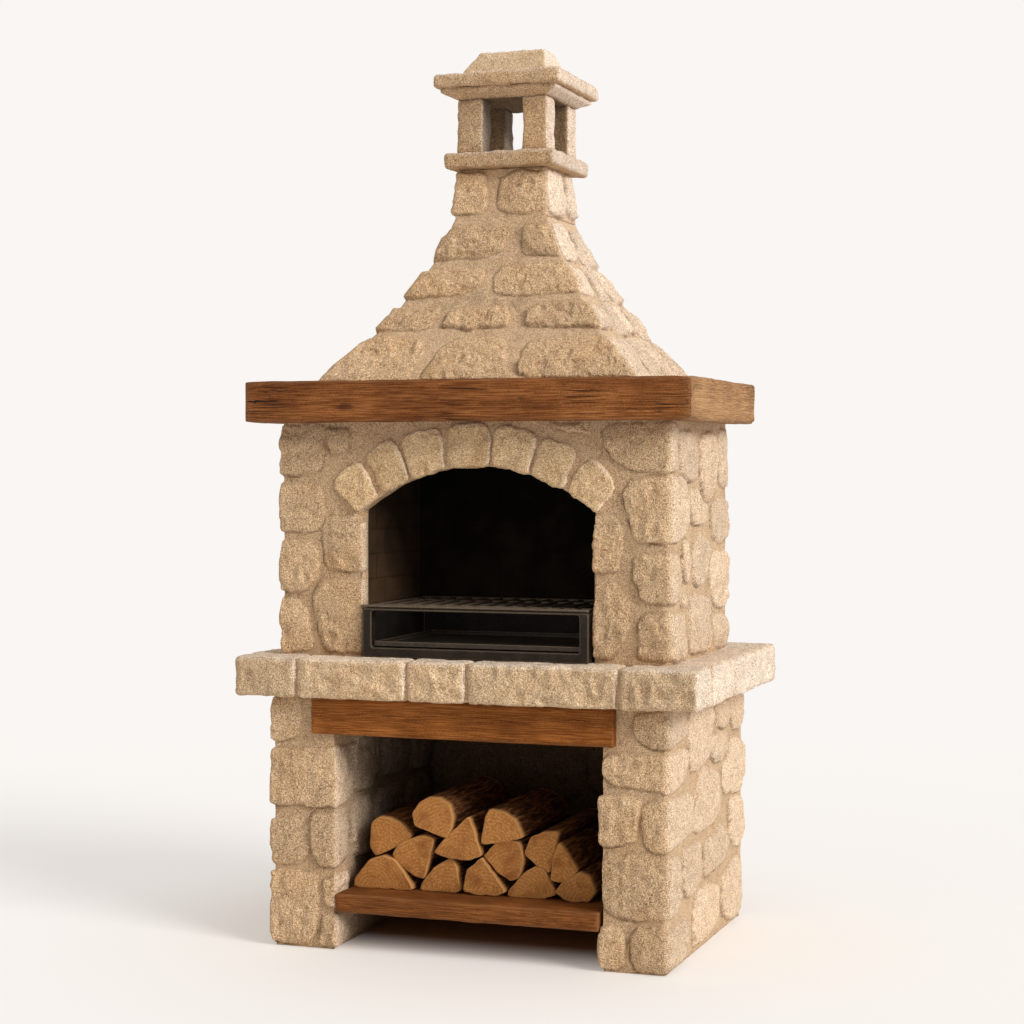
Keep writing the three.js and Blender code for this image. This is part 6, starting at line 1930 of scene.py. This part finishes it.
# %% Log shapes
log_outlines = [
    [(-0.442, 0), (-0.202, 0), (-0.247, 0.072), (-0.281, 0.11), (-0.321, 0.123), (-0.378, 0.108),
     (-0.44, 0.03)],
    [(-0.182, 0), (-0.04, 0), (-0.021, 0.012), (-0.039, 0.102), (-0.058, 0.128), (-0.13, 0.085),
     (-0.175, 0.028)],
    [(-0.007, 0.008), (0.05, 0), (0.118, 0), (0.156, 0.018), (0.104, 0.087), (0.064, 0.138), (0.008, 0.087)],
    [(0.159, 0), (0.294, 0), (0.345, 0.018), (0.298, 0.106), (0.263, 0.115), (0.226, 0.097), (0.16, 0.018)],
    [(0.349, 0.03), (0.387, 0), (0.475, 0), (0.5, 0.035), (0.476, 0.093), (0.442, 0.11), (0.374, 0.064)],
    [(-0.291, 0.128), (-0.248, 0.082), (-0.198, 0.05), (-0.163, 0.045), (-0.128, 0.196), (-0.164, 0.207),
     (-0.223, 0.193), (-0.268, 0.163)],
    [(-0.362, 0.105), (-0.269, 0.149), (-0.219, 0.186), (-0.261, 0.232), (-0.303, 0.249), (-0.351, 0.253),
     (-0.38, 0.231), (-0.389, 0.142)],
    [(-0.121, 0.144), (-0.049, 0.128), (0.015, 0.125), (0.066, 0.144), (0.031, 0.25), (0.014, 0.29),
     (-0.083, 0.193)],
    [(0.069, 0.156), (0.128, 0.097), (0.174, 0.072), (0.203, 0.084), (0.222, 0.137), (0.21, 0.214),
     (0.171, 0.222), (0.117, 0.207)],
    [(0.329, 0.062), (0.37, 0.059), (0.403, 0.077), (0.431, 0.104), (0.362, 0.203), (0.343, 0.155)],
    [(0.226, 0.16), (0.279, 0.115), (0.321, 0.093), (0.354, 0.247), (0.296, 0.242), (0.249, 0.221)],
    [(-0.197, 0.238), (-0.07, 0.2), (-0.048, 0.232), (-0.043, 0.281), (-0.057, 0.321), (-0.096, 0.347),
     (-0.136, 0.348), (-0.178, 0.327), (-0.206, 0.283)],
    [(0.062, 0.206), (0.224, 0.24), (0.215, 0.27), (0.19, 0.308), (0.154, 0.329), (0.095, 0.338),
     (0.079, 0.317)],
]
log_step = 0.0052
log_slice = 0.028
pile_width = 0.7
end_insets = [0.02, 0.15, 0.35, 0.55, 0.76, 0.91, 0.985]
ring_unit = 0.05
bark_top = 0.001
end_dish = 0.0012
end_dent = 0.0012


def even_outline(outline, step):
    """An outline's corners rounded a little and its points spaced evenly."""
    outline = rounded_outline(outline, 2, 0.92)
    closed = np.vstack([outline, outline[:1]])
    lengths = np.concatenate([[0], np.cumsum(np.linalg.norm(np.diff(closed, axis=0), axis=1))])
    count = max(24, int(lengths[-1] / step))
    walked = np.linspace(0, lengths[-1], count, endpoint=False)
    return np.stack([np.interp(walked, lengths, closed[:, axis]) for axis in (0, 1)], axis=1)


def split_log(number, shares, material):
    """One log in the space of its node."""
    node = f"split_log_{number:02d}"
    low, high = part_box(node)
    ring = even_outline(np.array(shares) * pile_width, log_step)
    ring = (ring - ring.min(axis=0)) / np.ptp(ring, axis=0)
    ring = ring * (high.x - low.x, high.z - low.z) + (low.x, low.z)
    centre = (ring.min(axis=0) + ring.max(axis=0)) / 2
    count = len(ring)
    along = np.arange(low.y, high.y, log_slice)
    along[-1] = high.y
    rings = [(along[0] + end_dish * (1 - inset), inset) for inset in end_insets]
    rings += [(level, 1.0) for level in along[1:-1]]
    rings += [(along[-1], inset) for inset in end_insets[::-1]]
    points = np.zeros((len(rings), count, 3))
    for place, (level, keep) in enumerate(rings):
        points[place, :, 0] = centre[0] + (ring[:, 0] - centre[0]) * keep
        points[place, :, 1] = level
        points[place, :, 2] = centre[1] + (ring[:, 1] - centre[1]) * keep
    outward = np.zeros_like(points)
    outward[..., 0] = ring[:, 0] - centre[0]
    outward[..., 2] = ring[:, 1] - centre[1]
    outward /= np.linalg.norm(outward, axis=2)[..., None]
    stretch = np.array([1, 0.16, 1])
    keeps = np.array([keep for _, keep in rings])[:, None]
    ridges = layers(points * stretch, (0.012, 0.0016, number), (0.03, 0.002, number + 20))
    points += outward * (np.minimum(ridges, bark_top) * (keeps > 0.9))[..., None]
    end = np.arange(len(rings)) < len(end_insets)
    dents = lumps(points, 0.02, number + 40) * end_dent
    points[end, :, 1] += np.abs(dents[end])
    faces = ring_faces(len(rings), count) + ring_caps(len(rings), count)
    piece = new_piece(f"log_{number:02d}", points.reshape(-1, 3), faces, [material])
    write_value(piece, "bark", np.repeat(np.clip((keeps - 0.985) / 0.015, 0, 1), count, axis=1))
    write_value(piece, "rim", np.repeat(np.clip((keeps - 0.8) / 0.18, 0, 1), count, axis=1))
    local = (points[..., [0, 2]] - centre) / ring_unit
    write_value(piece, "across", local[..., 0] + math.sin(number * 2) * 0.7)
    write_value(piece, "upward", local[..., 1] - local[..., 1].min())
    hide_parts(node)


print("logs drawn:", len(log_outlines))

# %% Log material
def log_material():
    """Pale rings on the ends and ridged bark round them, told apart by the value "bark"."""
    material, tree, shader = new_material("split_log")
    bark = vertex_value(tree, "bark")
    local = add(tree, "CombineXYZ", {"X": vertex_value(tree, "across"), "Y": vertex_value(tree, "upward")})
    rings = add(tree, "TexWave", {"Scale": 1.7, "Distortion": 3, "Detail": 3, "Detail Scale": 1.4},
                wave_type="RINGS", rings_direction="Z")
    feed(tree, (local, 0), rings, "Vector")
    place = own_place(tree)
    saw = noise(tree, place, 190, 3, 0.65)
    stain = between(tree, noise(tree, place, 24, 3), 0.5, 0.8)
    pale = blend_colours(tree, between(tree, saw, 0.36, 0.64), colour(168, 110, 56), colour(200, 144, 84))
    ring_share = reckon(tree, "MULTIPLY", (rings, "Fac"), 0.3)
    ringed = blend_colours(tree, ring_share, pale, colour(132, 78, 36))
    aged = blend_colours(tree, stain, ringed, colour(134, 80, 40))
    rim = reckon(tree, "POWER", vertex_value(tree, "rim"), 5.0)
    edged = blend_colours(tree, rim, aged, colour(196, 144, 88))
    ridges = noise(tree, vector_reckon(tree, "MULTIPLY", place, (1, 0.1, 1)), 150, 4, 0.65)
    rind = ramp(tree, ridges, [
        (0.34, colour(30, 16, 8)),
        (0.5, colour(92, 54, 27)),
        (0.7, colour(164, 112, 64)),
    ])
    surface = blend_colours(tree, bark, edged, rind)
    heights = blend_colours(tree, bark, saw, ridges)
    finish_shader(tree, shader, surface, 0.88, 0.15, heights, 0.7, 0.0025)
    return material


firewood = log_material()
for place, shares in enumerate(log_outlines):
    split_log(place + 1, shares, firewood)
print("logs are stacked")

# %% [markdown]
# ## Sooty brick lining
# The linings keep their shape from the frame, where the joints are real grooves. Their finish is brown
# firebrick that turns black with soot towards the rear and the top.

# %% Lining material
def lining_material(name, brick, soot_floor):
    """Firebrick under soot that thickens upwards."""
    material, tree, shader = new_material(name)
    place = own_place(tree)
    parts = add(tree, "SeparateXYZ", {0: place})
    grain = noise(tree, place, 160, 4, 0.7)
    light = tuple(min(channel * 1.7, 1) for channel in brick[:3]) + (1,)
    tone = blend_colours(tree, between(tree, grain, 0.3, 0.7), brick, light)
    hearth_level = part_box("hearth_core")[1].z
    climb = share_of(tree, (parts, "Z"), hearth_level + 0.05, hearth_level + 0.5, 0.55)
    patch = share_of(tree, noise(tree, place, 14, 4), 0.3, 0.7, 0.3)
    soot = total(tree, climb, patch, soot_floor)
    soot[0].use_clamp = True
    black = blend_colours(tree, soot, tone, colour(13, 10, 8))
    finish_shader(tree, shader, black, 0.95, 0.1, grain, 0.6, 0.002)
    return material


def finish_node(node, material):
    """Gives a carried-over part its material."""
    slots = frame["nodes"][node].data.materials
    slots.clear()
    slots.append(material)


side_brick = lining_material("sooty_side_brick", colour(78, 58, 40), 0.12)
rear_brick = lining_material("sooty_rear_brick", colour(52, 40, 30), 0.42)
for side, brick in (("left", side_brick), ("right", side_brick), ("rear", rear_brick)):
    finish_node("lining_" + side, brick)
print("linings are sooty")

# %% [markdown]
# ## Blackened steel
# The grill box, its front frame, the pan and the grate are steel, black from the fire. A faint dusty
# film and worn spots keep it from looking like plastic. A pale band along the edges is a painted
# highlight, and the pan and the grate are painted lighter as painted light.

# %% Steel material
def steel_material(name, dark, worn, roughness, dust):
    """Blackened steel with a dusty film that varies its gloss, and a painted highlight along its edges."""
    material, tree, shader = new_material(name)
    place = own_place(tree)
    film = noise(tree, place, 18, 5, 0.65)
    specks = noise(tree, place, 240, 3, 0.7)
    shade = blend_colours(tree, between(tree, specks, 0.35, 0.75), dark, worn)
    surface = blend_colours(tree, share_of(tree, film, 0.45, 0.75, dust), shade, colour(96, 86, 74))
    # The pale band along the edges, found from the bevel, is a painted highlight.
    rounded = (add(tree, "Bevel", {"Radius": 0.004}), 0)
    flat = (add(tree, "NewGeometry"), "True Normal")
    agreement = vector_reckon(tree, "DOT_PRODUCT", rounded, flat)
    edge = share_of(tree, agreement, 0.995, 0.86, 0.7)
    edge_wear_and_highlight = blend_colours(tree, edge, surface, colour(150, 130, 108))
    film_roughness = spread(tree, film, roughness - 0.1, roughness + 0.16)
    shader.inputs["Metallic"].default_value = 0.3
    finish_shader(tree, shader, edge_wear_and_highlight, film_roughness, 0.22, specks, 0.35, 0.0009, rounded)
    return material


frame_steel = steel_material("frame_steel", colour(24, 18, 13), colour(50, 40, 31), 0.48, 0.2)
# The grate's copy is painted lighter: a painted highlight along its bars.
grate_steel = steel_material("grate_steel", colour(70, 60, 50), colour(120, 104, 88), 0.42, 0.25)
box_steel = steel_material("box_steel", colour(25, 21, 18), colour(46, 40, 34), 0.62, 0.15)
# The pan's copy is painted lighter: painted light on the floor of the box.
pan_steel = steel_material("pan_steel", colour(44, 38, 32), colour(80, 70, 60), 0.42, 0.35)
finish_node("grill_front_frame", frame_steel)
finish_node("grill_box", box_steel)
finish_node("ember_pan", pan_steel)
finish_node("cooking_grate", grate_steel)
print("steel is black")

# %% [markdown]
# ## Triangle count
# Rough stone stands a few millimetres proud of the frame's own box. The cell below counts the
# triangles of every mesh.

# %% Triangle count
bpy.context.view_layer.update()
triangles = sum(len(face.vertices) - 2 for item in scene.objects if item.type == "MESH"
                for face in item.data.polygons)
print("triangles, about:", triangles)
